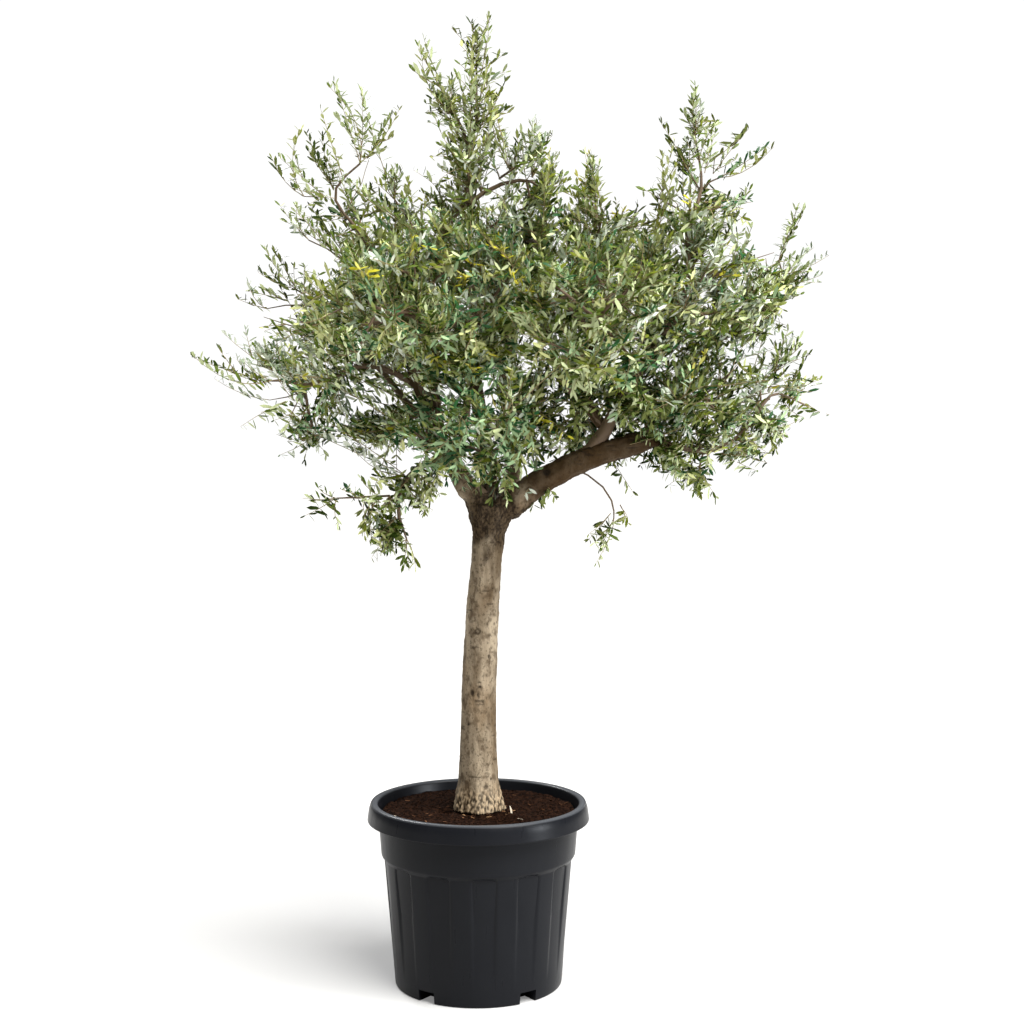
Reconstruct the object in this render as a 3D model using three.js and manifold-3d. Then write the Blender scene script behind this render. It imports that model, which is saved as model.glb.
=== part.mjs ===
// Potted olive tree: a young standard olive in a moulded 50-litre nursery pot.
//
// Millimetres, +Z up. The origin is the centre of the pot's underside, the front of the
// tree faces -Y, and the long side of the crown reaches out along +X. Every limb and every
// mass of foliage is a closed solid of its own, a hair's breadth clear of its neighbours.

import * as THREE from 'three';
import { mergeVertices } from 'three/addons/utils/BufferGeometryUtils.js';
import Module from 'manifold-3d';

const wasm = await Module();
wasm.setup();

// ---------------------------------------------------------------- driving dimensions

const GAP = 0.4; // left between solids that touch
const WELD = 1e-4; // vertices closer than this are one
const OVERCUT = 20; // a cutter reaches this far past what it cuts
const TURN = 2 * Math.PI;

// Pot
const POT_SIDES = 26; // two facets to each flute with its rib
const POT_HEIGHT = 410;
const RIM_LIP_R = 250; // outermost, at the lower edge of the rim
const RIM_TOP_R = 243;
const RIM_MOUTH_R = 226;
const RIM_DEPTH = 39; // the skirt of the rim hangs this far
const RIM_BEVEL = 5;
const RIM_HEM = 4; // upright edge at the foot of the skirt
const BAND_R = 226; // plain band, where it meets the rim
const BAND_FOOT_R = 218;
const BAND_FOOT_Z = 294;
const WALL_TOP_R = 211.5;
const WALL_TOP_Z = 284;
const FOOT_R = 187.6;
const FOOT_BEVEL = 4;
const WALL = 8.5; // through the ribs; a flute leaves about half of it
const BAND_WALL = 6.5; // inside of the band, level with BAND_INNER_Z
const BAND_INNER_Z = 314;
const FLOOR = 6;
const FLUTE_COUNT = 13;
const FLUTE_DEPTH = 4.5; // under the band, running out to nothing near the foot
const FLUTE_FOOT_Z = 40;
const FLUTE_SHARE = 0.5; // of one flute and one rib together
const FLUTE_PHASE = 4.5; // degrees, from the front towards +X
const FLUTE_STANDOFF = 0.5; // the cutter is this far clear of the wall at its foot
const DRAIN_COUNT = 5;
const DRAIN_HEIGHT = 26;
const DRAIN_WIDTH = 42;
const DRAIN_INNER_R = 140;
const DRAIN_PHASE = 36; // degrees from the front
const TUNNEL_WALL = 4; // round each drain, standing on the floor
const TUNNEL_BED = 2; // how deep the tunnels are set into the floor

// Potting mix
const SOIL_Z = 390;
const SOIL_R = 218; // at the wall
const SOIL_EDGE_DROP = 4; // lower at the wall
const SOIL_DIP = 6; // lower between the trunk and the wall
const DIP_R = 158;
const MOUND_R = 86; // level from here to the trunk

// Trunk
const FORK = new THREE.Vector3(30, 0, 1076);
const TRUNK_BEND = 22; // bows back towards -X of a straight line at mid height
const TRUNK_SIDES = 12;
const TRUNK_STEPS = 11;
const TRUNK_R = 34; // under the fork
const TRUNK_TAPER = 9;
const FLARE_R = 15; // added at the ground
const FLARE_HEIGHT = 50;
const FLARE_LOBES = 5; // roots that show as lobes
const LOBE_SIZE = 0.25; // share of the flare
const LOBE_TURN = 1; // radians
const SWELL_R = 26; // added where the boughs part
const SWELL_HEIGHT = 28;
const SWELL_DEPTH = 0.6; // front to back, as a share of the swelling's width

// Boughs: each from a start inside the fork, past its bends, to an end inside a mass
const BOUGH_SIDES = 8;
const BOUGH_STEPS = 7;
const BOUGHS = [
  {
    name: 'bough_right',
    route: [[35, 0, 1055], [115, -10, 1113], [240, -28, 1180], [345, -34, 1212], [440, -30, 1240]],
    radius: [31, 24],
  },
  {
    name: 'bough_left',
    route: [[22, 0, 1040], [-20, -10, 1112], [-80, -15, 1208], [-126, 0, 1300], [-150, 20, 1455]],
    radius: [25, 14],
  },
  {
    name: 'bough_centre',
    route: [[28, 12, 1045], [22, 70, 1140], [6, 105, 1250], [-20, 60, 1440]],
    radius: [24, 15],
  },
  {
    name: 'bough_back',
    route: [[35, 15, 1045], [70, 110, 1110], [75, 235, 1205], [50, 340, 1420]],
    radius: [24, 14],
  },
];

// Foliage: centre and half sizes of each mass, with the tips of its leading shoots
const BLOB_DETAIL = 2;
const SPRIG_DETAIL = 1; // on a mass with a half size under SPRIG_SIZE
const SPRIG_SIZE = 70;
const BLOB_UNEVEN = 0.2; // share of the radius
const BLOB_REACH = 0.12; // it swells this much further towards a leading shoot
const SHOOT_SIDES = 4;
const SHOOT_R = 32; // where it starts inside its mass
const SHOOT_TIP_R = 8;
const SHOOT_ROOT = 0.35; // its start, as a share of the way from the centre to the tip
const MASSES = [
  {
    name: 'foliage_spire',
    centre: [-15, 0, 1845],
    half: [72, 85, 165],
    tips: [[25, 0, 2150], [-40, 30, 2125], [-130, -40, 2080], [60, 40, 2015], [45, -80, 1960]],
  },
  {
    name: 'foliage_heart',
    centre: [-35, -90, 1530],
    half: [150, 150, 180],
    tips: [],
  },
  {
    name: 'foliage_right_core',
    centre: [460, -60, 1545],
    half: [160, 150, 130],
    tips: [],
  },
  {
    name: 'foliage_centre_right',
    centre: [215, -60, 1500],
    half: [130, 160, 150],
    tips: [],
  },
  {
    name: 'foliage_centre_left',
    centre: [-225, 20, 1485],
    half: [110, 150, 135],
    tips: [],
  },
  {
    name: 'foliage_left_crest',
    centre: [-285, -20, 1695],
    half: [110, 120, 115],
    tips: [
      [-435, -20, 1840], [-385, 60, 1905], [-310, -60, 1995], [-250, -20, 1975], [-175, 40, 1955],
    ],
  },
  {
    name: 'foliage_left_shoulder',
    centre: [-385, 60, 1520],
    half: [95, 125, 85],
    tips: [[-450, 0, 1635], [-525, 60, 1555]],
  },
  {
    name: 'foliage_left_wing',
    centre: [-370, -60, 1330],
    half: [115, 120, 90],
    tips: [[-560, -20, 1455], [-620, -70, 1400], [-515, -80, 1250], [-380, -50, 1175]],
  },
  {
    name: 'foliage_left_low',
    centre: [-165, 60, 1290],
    half: [80, 110, 80],
    tips: [],
  },
  {
    name: 'foliage_left_sprig',
    centre: [-185, -70, 1105],
    half: [80, 70, 68],
    tips: [[-365, -110, 1090], [-150, -70, 945]],
  },
  {
    name: 'foliage_front_cluster',
    centre: [-15, -150, 1250],
    half: [125, 110, 110],
    tips: [[65, -190, 1105], [-85, -190, 1140]],
  },
  {
    name: 'foliage_crest',
    centre: [115, 0, 1745],
    half: [80, 110, 105],
    tips: [[85, -20, 1890], [130, 20, 1920], [180, 50, 1855]],
  },
  {
    name: 'foliage_right_shoulder',
    centre: [270, 30, 1700],
    half: [90, 110, 85],
    tips: [[245, 0, 1850], [320, 40, 1775]],
  },
  {
    name: 'foliage_low_centre',
    centre: [225, 20, 1285],
    half: [140, 130, 85],
    tips: [],
  },
  {
    name: 'foliage_right_crest',
    centre: [485, 0, 1755],
    half: [95, 120, 115],
    tips: [[480, 0, 1985], [400, -40, 1910], [530, 50, 1905], [580, -50, 1885], [635, 0, 1865]],
  },
  {
    name: 'foliage_right_wing',
    centre: [640, 30, 1565],
    half: [80, 105, 95],
    tips: [[725, 40, 1730], [780, 20, 1630], [775, 70, 1575]],
  },
  {
    name: 'foliage_right_low',
    centre: [450, -55, 1325],
    half: [130, 150, 112],
    tips: [],
  },
  {
    name: 'foliage_right_skirt',
    centre: [630, 10, 1325],
    half: [90, 110, 90],
    tips: [[700, 60, 1470], [765, 0, 1345], [760, 60, 1290]],
  },
  {
    name: 'foliage_right_hem',
    centre: [490, -30, 1192],
    half: [125, 90, 50],
    tips: [[615, -40, 1190], [515, -90, 1140], [480, 0, 1105]],
  },
  {
    name: 'foliage_right_sprig',
    centre: [330, -60, 1105],
    half: [30, 30, 60],
    tips: [[245, -60, 1015], [270, -30, 980]],
  },
  {
    name: 'foliage_front_left',
    centre: [-190, -275, 1480],
    half: [130, 110, 120],
    tips: [[-330, -370, 1540], [-240, -420, 1590]],
  },
  {
    name: 'foliage_front_right',
    centre: [235, -290, 1470],
    half: [145, 115, 130],
    tips: [[300, -450, 1570], [150, -440, 1560], [420, -400, 1550]],
  },
  {
    name: 'foliage_back_left',
    centre: [-235, 270, 1570],
    half: [150, 135, 150],
    tips: [[-430, 330, 1620], [-340, 430, 1710], [-200, 390, 1810]],
  },
  {
    name: 'foliage_back_centre',
    centre: [30, 300, 1590],
    half: [140, 150, 180],
    tips: [[30, 530, 1740], [-60, 450, 1850], [90, 410, 1900]],
  },
  {
    name: 'foliage_back_right',
    centre: [330, 270, 1550],
    half: [155, 140, 155],
    tips: [[530, 350, 1620], [430, 450, 1700], [330, 390, 1800]],
  },
];

const PLASTIC = { color: 0x2c2f34, roughness: 0.5, metalness: 0 };
const SOIL = { color: 0x33241a, roughness: 0.95, metalness: 0 };
const BARK = { color: 0x8d7c65, roughness: 0.85, metalness: 0 };
const LEAVES = { color: 0x63754a, roughness: 0.7, metalness: 0 };

// ---------------------------------------------------------------- closed solids

// A closed solid from any three.js geometry: one vertex to each point, no empty triangles.
function solidOf(geometry) {
  geometry.deleteAttribute('normal');
  geometry.deleteAttribute('uv');
  const welded = mergeVertices(geometry, WELD);
  const corners = welded.index.array;
  const triangles = [];
  for (let i = 0; i < corners.length; i += 3) {
    const [a, b, c] = [corners[i], corners[i + 1], corners[i + 2]];
    if (a !== b && b !== c && c !== a) triangles.push(a, b, c);
  }
  return new wasm.Manifold(new wasm.Mesh({
    numProp: 3,
    vertProperties: welded.attributes.position.array,
    triVerts: Uint32Array.from(triangles),
  }));
}

function joined(solids) {
  return solids.reduce((sum, solid) => sum.add(solid));
}

// The biggest single body of a solid that its neighbours may have cut in two.
function mainBody(solid) {
  return solid.decompose().reduce((best, piece) => (piece.volume() > best.volume() ? piece : best));
}

function meshOf(name, solid, finish) {
  const { vertProperties, triVerts } = solid.getMesh();
  const geometry = new THREE.BufferGeometry();
  geometry.setAttribute('position', new THREE.BufferAttribute(vertProperties, 3));
  geometry.setIndex(new THREE.BufferAttribute(triVerts, 1));
  geometry.computeVertexNormals();
  const mesh = new THREE.Mesh(geometry, new THREE.MeshStandardMaterial(finish));
  mesh.name = name;
  return mesh;
}

// A solid turned about the pot's axis, from a profile of [radius, height] corners.
function turned(profile) {
  const corners = profile.map(([radius, height]) => new THREE.Vector2(radius, height));
  const geometry = new THREE.LatheGeometry(corners, POT_SIDES);
  geometry.rotateX(Math.PI / 2);
  return solidOf(geometry);
}

// ---------------------------------------------------------------- pot

// Outside radius of the plain wall below the band.
function wallRadius(z) {
  const share = z / WALL_TOP_Z;
  return FOOT_R + (WALL_TOP_R - FOOT_R) * share;
}

function cavityProfile(inset) {
  return [
    [0, FLOOR + inset],
    [wallRadius(FLOOR) - WALL - inset, FLOOR + inset],
    [WALL_TOP_R - WALL - inset, WALL_TOP_Z],
    [BAND_FOOT_R - BAND_WALL - inset, BAND_INNER_Z],
    [SOIL_R - inset, SOIL_Z - SOIL_EDGE_DROP],
  ];
}

function potShell() {
  const rimFoot = POT_HEIGHT - RIM_DEPTH;
  const outside = turned([
    [0, 0],
    [FOOT_R - FOOT_BEVEL, 0],
    [FOOT_R, FOOT_BEVEL],
    [WALL_TOP_R, WALL_TOP_Z],
    [BAND_FOOT_R, BAND_FOOT_Z],
    [BAND_R, rimFoot],
    [RIM_LIP_R, rimFoot],
    [RIM_LIP_R, rimFoot + RIM_HEM],
    [RIM_TOP_R, POT_HEIGHT - RIM_BEVEL],
    [RIM_TOP_R - RIM_BEVEL, POT_HEIGHT],
    [0, POT_HEIGHT],
  ]);
  const cavity = turned([
    ...cavityProfile(0),
    [RIM_MOUTH_R, POT_HEIGHT - 1],
    [RIM_MOUTH_R + 1, POT_HEIGHT + 1],
    [0, POT_HEIGHT + 1],
  ]);
  return outside.subtract(cavity);
}

// One tapered cutter: full depth under the band, running out at the foot.
function fluteCutter(angle) {
  const height = WALL_TOP_Z - FLUTE_FOOT_Z;
  const block = new THREE.BoxGeometry(1, OVERCUT, height);
  const place = block.attributes.position;
  for (let i = 0; i < place.count; i += 1) {
    const z = place.getZ(i) + FLUTE_FOOT_Z + height / 2;
    const share = (z - FLUTE_FOOT_Z) / height;
    const radius = wallRadius(z);
    const inner = radius - FLUTE_DEPTH * share + FLUTE_STANDOFF * (1 - share);
    const width = (TURN * radius * FLUTE_SHARE) / FLUTE_COUNT;
    const y = place.getY(i) > 0 ? -inner : -inner - OVERCUT;
    place.setXYZ(i, place.getX(i) * width, y, z);
  }
  block.rotateZ(angle);
  return solidOf(block);
}

// A block on the pot's floor at one drain, from its inner end out to a radius.
function drainBlock(angle, innerRadius, outerRadius, width, bottom, top) {
  const block = new THREE.BoxGeometry(width, outerRadius - innerRadius, top - bottom);
  block.translate(0, -(outerRadius + innerRadius) / 2, (top + bottom) / 2);
  block.rotateZ(angle);
  return solidOf(block);
}

function drainAngles() {
  const start = THREE.MathUtils.degToRad(DRAIN_PHASE);
  return Array.from({ length: DRAIN_COUNT }, (_, i) => start + (TURN * i) / DRAIN_COUNT);
}

// The raised tunnels that stand on the floor over the drains, grown by a clearance.
function drainTunnels(clearance) {
  const skin = TUNNEL_WALL + clearance;
  const end = DRAIN_INNER_R - skin;
  const width = DRAIN_WIDTH + 2 * skin;
  return joined(drainAngles().map((angle) => (
    drainBlock(angle, end, FOOT_R - FOOT_BEVEL, width, FLOOR - TUNNEL_BED, DRAIN_HEIGHT + skin)
  )));
}

function pot() {
  const fluteStart = THREE.MathUtils.degToRad(FLUTE_PHASE);
  const flutes = Array.from({ length: FLUTE_COUNT }, (_, i) => (
    fluteCutter(fluteStart + (TURN * i) / FLUTE_COUNT)
  ));
  const drains = drainAngles().map((angle) => (
    drainBlock(angle, DRAIN_INNER_R, FOOT_R + OVERCUT, DRAIN_WIDTH, -OVERCUT, DRAIN_HEIGHT)
  ));
  return potShell().add(drainTunnels(0)).subtract(joined(flutes)).subtract(joined(drains));
}

function pottingMix() {
  const wallGap = GAP + 0.1;
  const fill = turned([
    ...cavityProfile(wallGap),
    [DIP_R, SOIL_Z - SOIL_DIP],
    [MOUND_R, SOIL_Z - GAP],
    [0, SOIL_Z - GAP],
  ]);
  return fill.subtract(drainTunnels(GAP));
}

// ---------------------------------------------------------------- trunk and boughs

// A closed limb: a cylinder bent along a curve, with a radius across and a radius from
// front to back at every height and angle, and grown by a clearance on every side.
function limb(curve, radii, sides, steps, clearance) {
  const geometry = new THREE.CylinderGeometry(1, 1, 1, sides, steps);
  const place = geometry.attributes.position;
  const across = new THREE.Vector3();
  const along = new THREE.Vector3();
  const front = new THREE.Vector3(0, -1, 0);
  for (let i = 0; i < place.count; i += 1) {
    const share = place.getY(i) + 0.5;
    const angle = Math.atan2(place.getZ(i), place.getX(i));
    const reach = Math.hypot(place.getX(i), place.getZ(i));
    const [wide, deep] = radii(share, angle);
    curve.getTangent(share, along);
    across.crossVectors(along, front).normalize();
    const depth = new THREE.Vector3().crossVectors(across, along);
    const point = curve.getPoint(share);
    point.addScaledVector(across, reach * (wide + clearance) * Math.cos(angle));
    point.addScaledVector(depth, reach * (deep + clearance) * Math.sin(angle));
    if (share < WELD) point.addScaledVector(along, -clearance);
    if (share > 1 - WELD) point.addScaledVector(along, clearance);
    place.setXYZ(i, point.x, point.y, point.z);
  }
  return solidOf(geometry);
}

function trunkCurve() {
  const foot = new THREE.Vector3(0, 0, SOIL_Z);
  const middle = foot.clone().lerp(FORK, 0.5);
  middle.x -= TRUNK_BEND;
  return new THREE.QuadraticBezierCurve3(foot, middle, FORK);
}

function trunk(clearance) {
  const height = FORK.z - SOIL_Z;
  const radii = (share, angle) => {
    const flare = FLARE_R * Math.exp((-share * height) / FLARE_HEIGHT);
    const swell = SWELL_R * Math.exp((-(1 - share) * height) / SWELL_HEIGHT);
    const lobes = 1 + LOBE_SIZE * Math.sin(FLARE_LOBES * angle + LOBE_TURN);
    const stem = TRUNK_R + TRUNK_TAPER * (1 - share) + flare * lobes;
    return [stem + swell, stem + swell * SWELL_DEPTH];
  };
  return limb(trunkCurve(), radii, TRUNK_SIDES, TRUNK_STEPS, clearance);
}

// The trunk stands on a flat cut, and its curve leans there, so its foot is trimmed level.
function levelFoot(solid) {
  const width = 2 * SOIL_R;
  const block = new THREE.BoxGeometry(width, width, OVERCUT);
  block.translate(0, 0, SOIL_Z - OVERCUT / 2);
  return solid.subtract(solidOf(block));
}

function bough({ route, radius: [thick, thin] }, clearance) {
  const points = route.map((point) => new THREE.Vector3(...point));
  const curve = new THREE.CatmullRomCurve3(points);
  const radii = (share) => {
    const size = thick + (thin - thick) * share;
    return [size, size];
  };
  return limb(curve, radii, BOUGH_SIDES, BOUGH_STEPS, clearance);
}

// ---------------------------------------------------------------- foliage

// How far a lump stands out at a point of the unit sphere: three waves, one to each axis.
function unevenness(point, seed) {
  const across = Math.sin(3.9 * point.x + 1.7 * seed);
  const deep = Math.sin(4.3 * point.y + 2.3 * seed);
  const high = Math.sin(4.7 * point.z + 3.1 * seed);
  return (BLOB_UNEVEN * (across + deep + high)) / 2;
}

// An uneven egg: a sphere with slow lumps, drawn out towards its leading shoots.
function blob({ centre, half, tips }, seed, clearance) {
  const detail = Math.min(...half) < SPRIG_SIZE ? SPRIG_DETAIL : BLOB_DETAIL;
  const geometry = new THREE.IcosahedronGeometry(1, detail);
  const middle = new THREE.Vector3(...centre);
  const leads = tips.map((tip) => new THREE.Vector3(...tip).sub(middle).normalize());
  const place = geometry.attributes.position;
  const point = new THREE.Vector3();
  for (let i = 0; i < place.count; i += 1) {
    point.fromBufferAttribute(place, i).normalize();
    const facing = Math.max(0, ...leads.map((lead) => lead.dot(point)));
    const radius = 1 + unevenness(point, seed) + BLOB_REACH * facing ** 4;
    place.setXYZ(
      i,
      centre[0] + point.x * (half[0] * radius + clearance),
      centre[1] + point.y * (half[1] * radius + clearance),
      centre[2] + point.z * (half[2] * radius + clearance),
    );
  }
  return solidOf(geometry);
}

// A leading shoot: a thin cone from inside its mass to its tip.
function shoot(centre, tip, clearance) {
  const middle = new THREE.Vector3(...centre);
  const end = new THREE.Vector3(...tip);
  const curve = new THREE.LineCurve3(middle.clone().lerp(end, SHOOT_ROOT), end);
  const radii = (share) => {
    const size = SHOOT_R + (SHOOT_TIP_R - SHOOT_R) * share;
    return [size, size];
  };
  return limb(curve, radii, SHOOT_SIDES, 1, clearance);
}

function foliage(mass, seed, clearance) {
  const shoots = mass.tips.map((tip) => shoot(mass.centre, tip, clearance));
  return joined([blob(mass, seed, clearance), ...shoots]);
}

// ---------------------------------------------------------------- the whole tree

const tree = new THREE.Group();
tree.add(meshOf('pot', pot(), PLASTIC));
tree.add(meshOf('potting_mix', pottingMix(), SOIL));
tree.add(meshOf('trunk', levelFoot(trunk(0)), BARK));

// Each mass gives way to the masses before it, and each bough to the trunk, to all the
// masses and to the boughs before it.
let taken = null;
MASSES.forEach((mass, index) => {
  const whole = foliage(mass, index + 1, 0);
  const free = taken ? mainBody(whole.subtract(taken)) : whole;
  tree.add(meshOf(mass.name, free, LEAVES));
  const grown = foliage(mass, index + 1, 2 * GAP);
  taken = taken ? taken.add(grown) : grown;
});
taken = taken.add(trunk(GAP));
BOUGHS.forEach((spec) => {
  const free = mainBody(bough(spec, 0).subtract(taken));
  tree.add(meshOf(spec.name, free, BARK));
  taken = taken.add(bough(spec, GAP));
});

export default tree;
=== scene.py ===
"""Potted olive tree: the looks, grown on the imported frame.

Metres, +Z up; the front of the tree faces -Y. The trunk and boughs of the frame become one
bark-covered mesh. Branches, leafy shoots and leaves grow on from the boughs and fill each
mass of foliage. The pot and its potting mix are made again with their fine shapes.
"""

import heapq
import math

import bmesh
import bpy
import numpy as np
from mathutils import Matrix, Vector, noise
from mathutils.bvhtree import BVHTree
from mathutils.kdtree import KDTree


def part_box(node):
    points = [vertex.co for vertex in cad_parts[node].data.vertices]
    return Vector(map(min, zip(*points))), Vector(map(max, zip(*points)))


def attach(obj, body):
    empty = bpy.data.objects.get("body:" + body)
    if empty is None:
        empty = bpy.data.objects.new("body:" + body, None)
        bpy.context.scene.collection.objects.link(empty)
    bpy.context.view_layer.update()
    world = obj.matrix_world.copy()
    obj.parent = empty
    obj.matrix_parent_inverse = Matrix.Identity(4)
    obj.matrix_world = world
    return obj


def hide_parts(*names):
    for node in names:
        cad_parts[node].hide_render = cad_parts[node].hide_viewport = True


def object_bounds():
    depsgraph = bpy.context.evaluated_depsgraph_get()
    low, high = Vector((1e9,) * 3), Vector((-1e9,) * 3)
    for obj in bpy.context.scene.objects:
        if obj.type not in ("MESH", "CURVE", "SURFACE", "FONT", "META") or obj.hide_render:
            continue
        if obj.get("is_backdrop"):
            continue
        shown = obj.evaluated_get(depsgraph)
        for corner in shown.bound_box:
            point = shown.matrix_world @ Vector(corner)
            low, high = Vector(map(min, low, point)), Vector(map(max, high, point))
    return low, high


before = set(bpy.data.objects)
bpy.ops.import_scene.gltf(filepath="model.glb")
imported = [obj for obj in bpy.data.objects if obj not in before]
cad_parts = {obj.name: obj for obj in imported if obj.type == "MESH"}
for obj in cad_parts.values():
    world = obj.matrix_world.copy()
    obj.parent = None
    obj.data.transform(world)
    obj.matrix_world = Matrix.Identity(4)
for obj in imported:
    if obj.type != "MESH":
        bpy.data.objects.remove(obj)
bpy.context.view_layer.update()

ROOT = "root"
SEED = 20
MM = 0.001
UP = np.array([0.0, 0.0, 1.0])

# ------------------------------------------------------------------ sizes

# Branches
TARGET_SPACING = 0.085  # between the ends of the branches inside a mass
BRANCH_STEP = 0.045
PATH_COST = 0.35  # how much a long way back to the trunk counts against a joint
TWIG_GIRTH = 0.9 * MM  # radius of a leafy shoot at its foot
PIPE_POWER = 2.35  # radii join by this power, as in da Vinci's rule

# Leafy shoots
SHOOT_LENGTH = (0.07, 0.17)
SHOOT_MARGIN = 0.022  # a shoot's tip may pass the surface of its mass by this much
SHOOTS_PER_LITRE = 24.0
LEAD_START = 0.5  # the long leading shoots begin this share of the way to their tips
SIDE_PITCH = 0.055  # between the side shoots of a leading shoot
SIDE_LENGTH = (0.035, 0.075)
SIDE_END = 0.55  # a leading shoot has no side shoots past this share of its length
WHIP_LENGTH = (0.16, 0.30)  # the long single shoots that stand out of a mass
WHIP_GAP = 0.045  # least distance between two of their tips
LEAF_PITCH = 0.0135  # between two pairs of leaves
LEAF_LENGTH = 0.0218
LEAF_WIDTH = 0.0060

# Bark
BARK_VOXEL = 2.9 * MM
THICK_BRANCH = 7.0 * MM  # branches over this radius are part of the bark mesh
FORK_REACH = 0.085  # the dark rough bark about the fork, dark partly of itself and partly as painted shade under the crown
FORK_SLANT = 0.016  # the trunk ends in a slanting face this high
BOUGH_ROOT = 0.045  # how far below the fork the boughs begin inside the trunk
COLLAR_DROP = 0.007  # how far the swollen foot of a bough sinks below its middle line

# Pot, as heights and radii in metres
FLUTE_COUNT = 13
FLUTE_TURN = math.radians(4.5)
FLUTE_DEPTH = 4.8 * MM
FLUTE_FOOT = 0.036
FLUTE_TOP = 0.290
NOTCH_COUNT = 5
NOTCH_TURN = math.radians(36)
NOTCH_SIZE = (0.070, 0.042, 0.052)  # inwards, across and up, half of it below the floor
RIM_HIGHLIGHT_BAND = (0.4050, 0.4095)  # the painted highlight along the top of the rim begins and is full at these heights
SOIL_LEVEL = 0.388
SOIL_RADIUS = 0.2165

# ------------------------------------------------------------------ numbers and vectors


def unit(vector):
    """The vector, or each row of an array of vectors, at length one."""
    length = np.linalg.norm(vector, axis=-1, keepdims=True)
    return vector / np.maximum(length, 1e-12)


def ramp(low, high, value):
    """0 below low, 1 above high, and smooth between."""
    share = np.clip((value - low) / (high - low), 0.0, 1.0)
    return share * share * (3.0 - 2.0 * share)


def bezier(start, bend, end, shares):
    """Points on a quadratic curve."""
    t = np.asarray(shares)[:, None]
    return (1 - t) ** 2 * start + 2 * t * (1 - t) * bend + t**2 * end


# ------------------------------------------------------------------ the frame's shapes


def node_shape(name):
    """The welded corners and the triangles of a CAD node."""
    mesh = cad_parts[name].data
    corners = np.empty(len(mesh.vertices) * 3, np.float32)
    mesh.vertices.foreach_get("co", corners)
    mesh.calc_loop_triangles()
    triangles = np.empty(len(mesh.loop_triangles) * 3, np.int32)
    mesh.loop_triangles.foreach_get("vertices", triangles)
    keys = np.round(corners.reshape(-1, 3) / (0.02 * MM)).astype(np.int64)
    unique, first, back = np.unique(keys, axis=0, return_index=True, return_inverse=True)
    return corners.reshape(-1, 3)[first].astype(float), back.reshape(-1)[triangles].reshape(-1, 3)


FOLIAGE = sorted(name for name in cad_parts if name.startswith("foliage_"))
BOUGHS = sorted(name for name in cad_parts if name.startswith("bough_"))


class Mass:
    """One mass of foliage: its surface, middle, volume and the tips of its leading shoots."""

    def __init__(self, name):
        self.name = name
        self.corners, self.triangles = node_shape(name)
        self.surface = BVHTree.FromPolygons(self.corners.tolist(), self.triangles.tolist())
        a, b, c = (self.corners[self.triangles[:, k]] for k in range(3))
        parts = np.einsum("ij,ij->i", a, np.cross(b, c)) / 6.0
        self.volume = parts.sum()
        self.middle = ((a + b + c) / 4.0 * parts[:, None]).sum(0) / self.volume
        self.tips = self.find_tips()

    def find_tips(self):
        """The blunt ends of the leading shoots: small clusters of far corners."""
        away = self.corners - self.middle
        reach = np.linalg.norm(away, axis=1)
        order = np.argsort(-reach)
        tips = []
        for i in order:
            near = np.linalg.norm(self.corners - self.corners[i], axis=1) < 18 * MM
            if near.sum() < 4 or reach[i] < 1.05 * np.median(reach):
                continue
            middle = self.corners[near].mean(0)
            facing = unit(away) @ unit(away[i])
            if np.any((facing > math.cos(0.30)) & (reach > reach[i] + 15 * MM)):
                continue
            if all(np.linalg.norm(middle - tip) > 45 * MM for tip in tips):
                tips.append(middle)
        return tips

    def depth(self, point):
        """How deep a point lies under the surface; outside it is negative."""
        place, normal, _, distance = self.surface.find_nearest(Vector(point))
        return -distance if (Vector(point) - place).dot(normal) > 0 else distance

    def inner_points(self, spacing, rng):
        """Evenly scattered points inside the mass, about a spacing apart."""
        low, high = self.corners.min(0), self.corners.max(0)
        found = [self.middle]
        for _ in range(int(60 * self.volume / spacing**3) + 30):
            point = low + (high - low) * rng.random(3)
            gaps = np.linalg.norm(np.array(found) - point, axis=1)
            if gaps.min() > spacing and self.depth(point) > 0.1 * spacing:
                found.append(point)
        return found


def limb_line(name, start):
    """The middle line and radii of a bough, from the end nearest to a start point."""
    corners, triangles = node_shape(name)
    links = [[] for _ in corners]
    for a, b, c in triangles:
        links[a] += [b, c]
        links[b] += [c, a]
        links[c] += [a, b]
    first = int(np.argmin(np.linalg.norm(corners - start, axis=1)))
    walked = np.full(len(corners), np.inf)
    walked[first] = 0.0
    queue = [(0.0, first)]
    while queue:
        far, here = heapq.heappop(queue)
        if far > walked[here]:
            continue
        for there in links[here]:
            reach = far + float(np.linalg.norm(corners[here] - corners[there]))
            if reach < walked[there]:
                walked[there] = reach
                heapq.heappush(queue, (reach, there))
    bins = np.floor(walked / 0.055).astype(int)
    rings = [corners[bins == band] for band in range(bins.max() + 1)]
    rings = [ring for ring in rings if len(ring) >= 5]
    line = np.array([ring.mean(0) for ring in rings])
    along = unit(np.gradient(line, axis=0))
    radii = []
    for ring, middle, axis in zip(rings, line, along):
        offset = ring - middle
        flat = offset - np.outer(offset @ axis, axis)
        radii.append(float(np.linalg.norm(flat, axis=1).mean()))
    return line, radii


# ------------------------------------------------------------------ the branching rule


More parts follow.
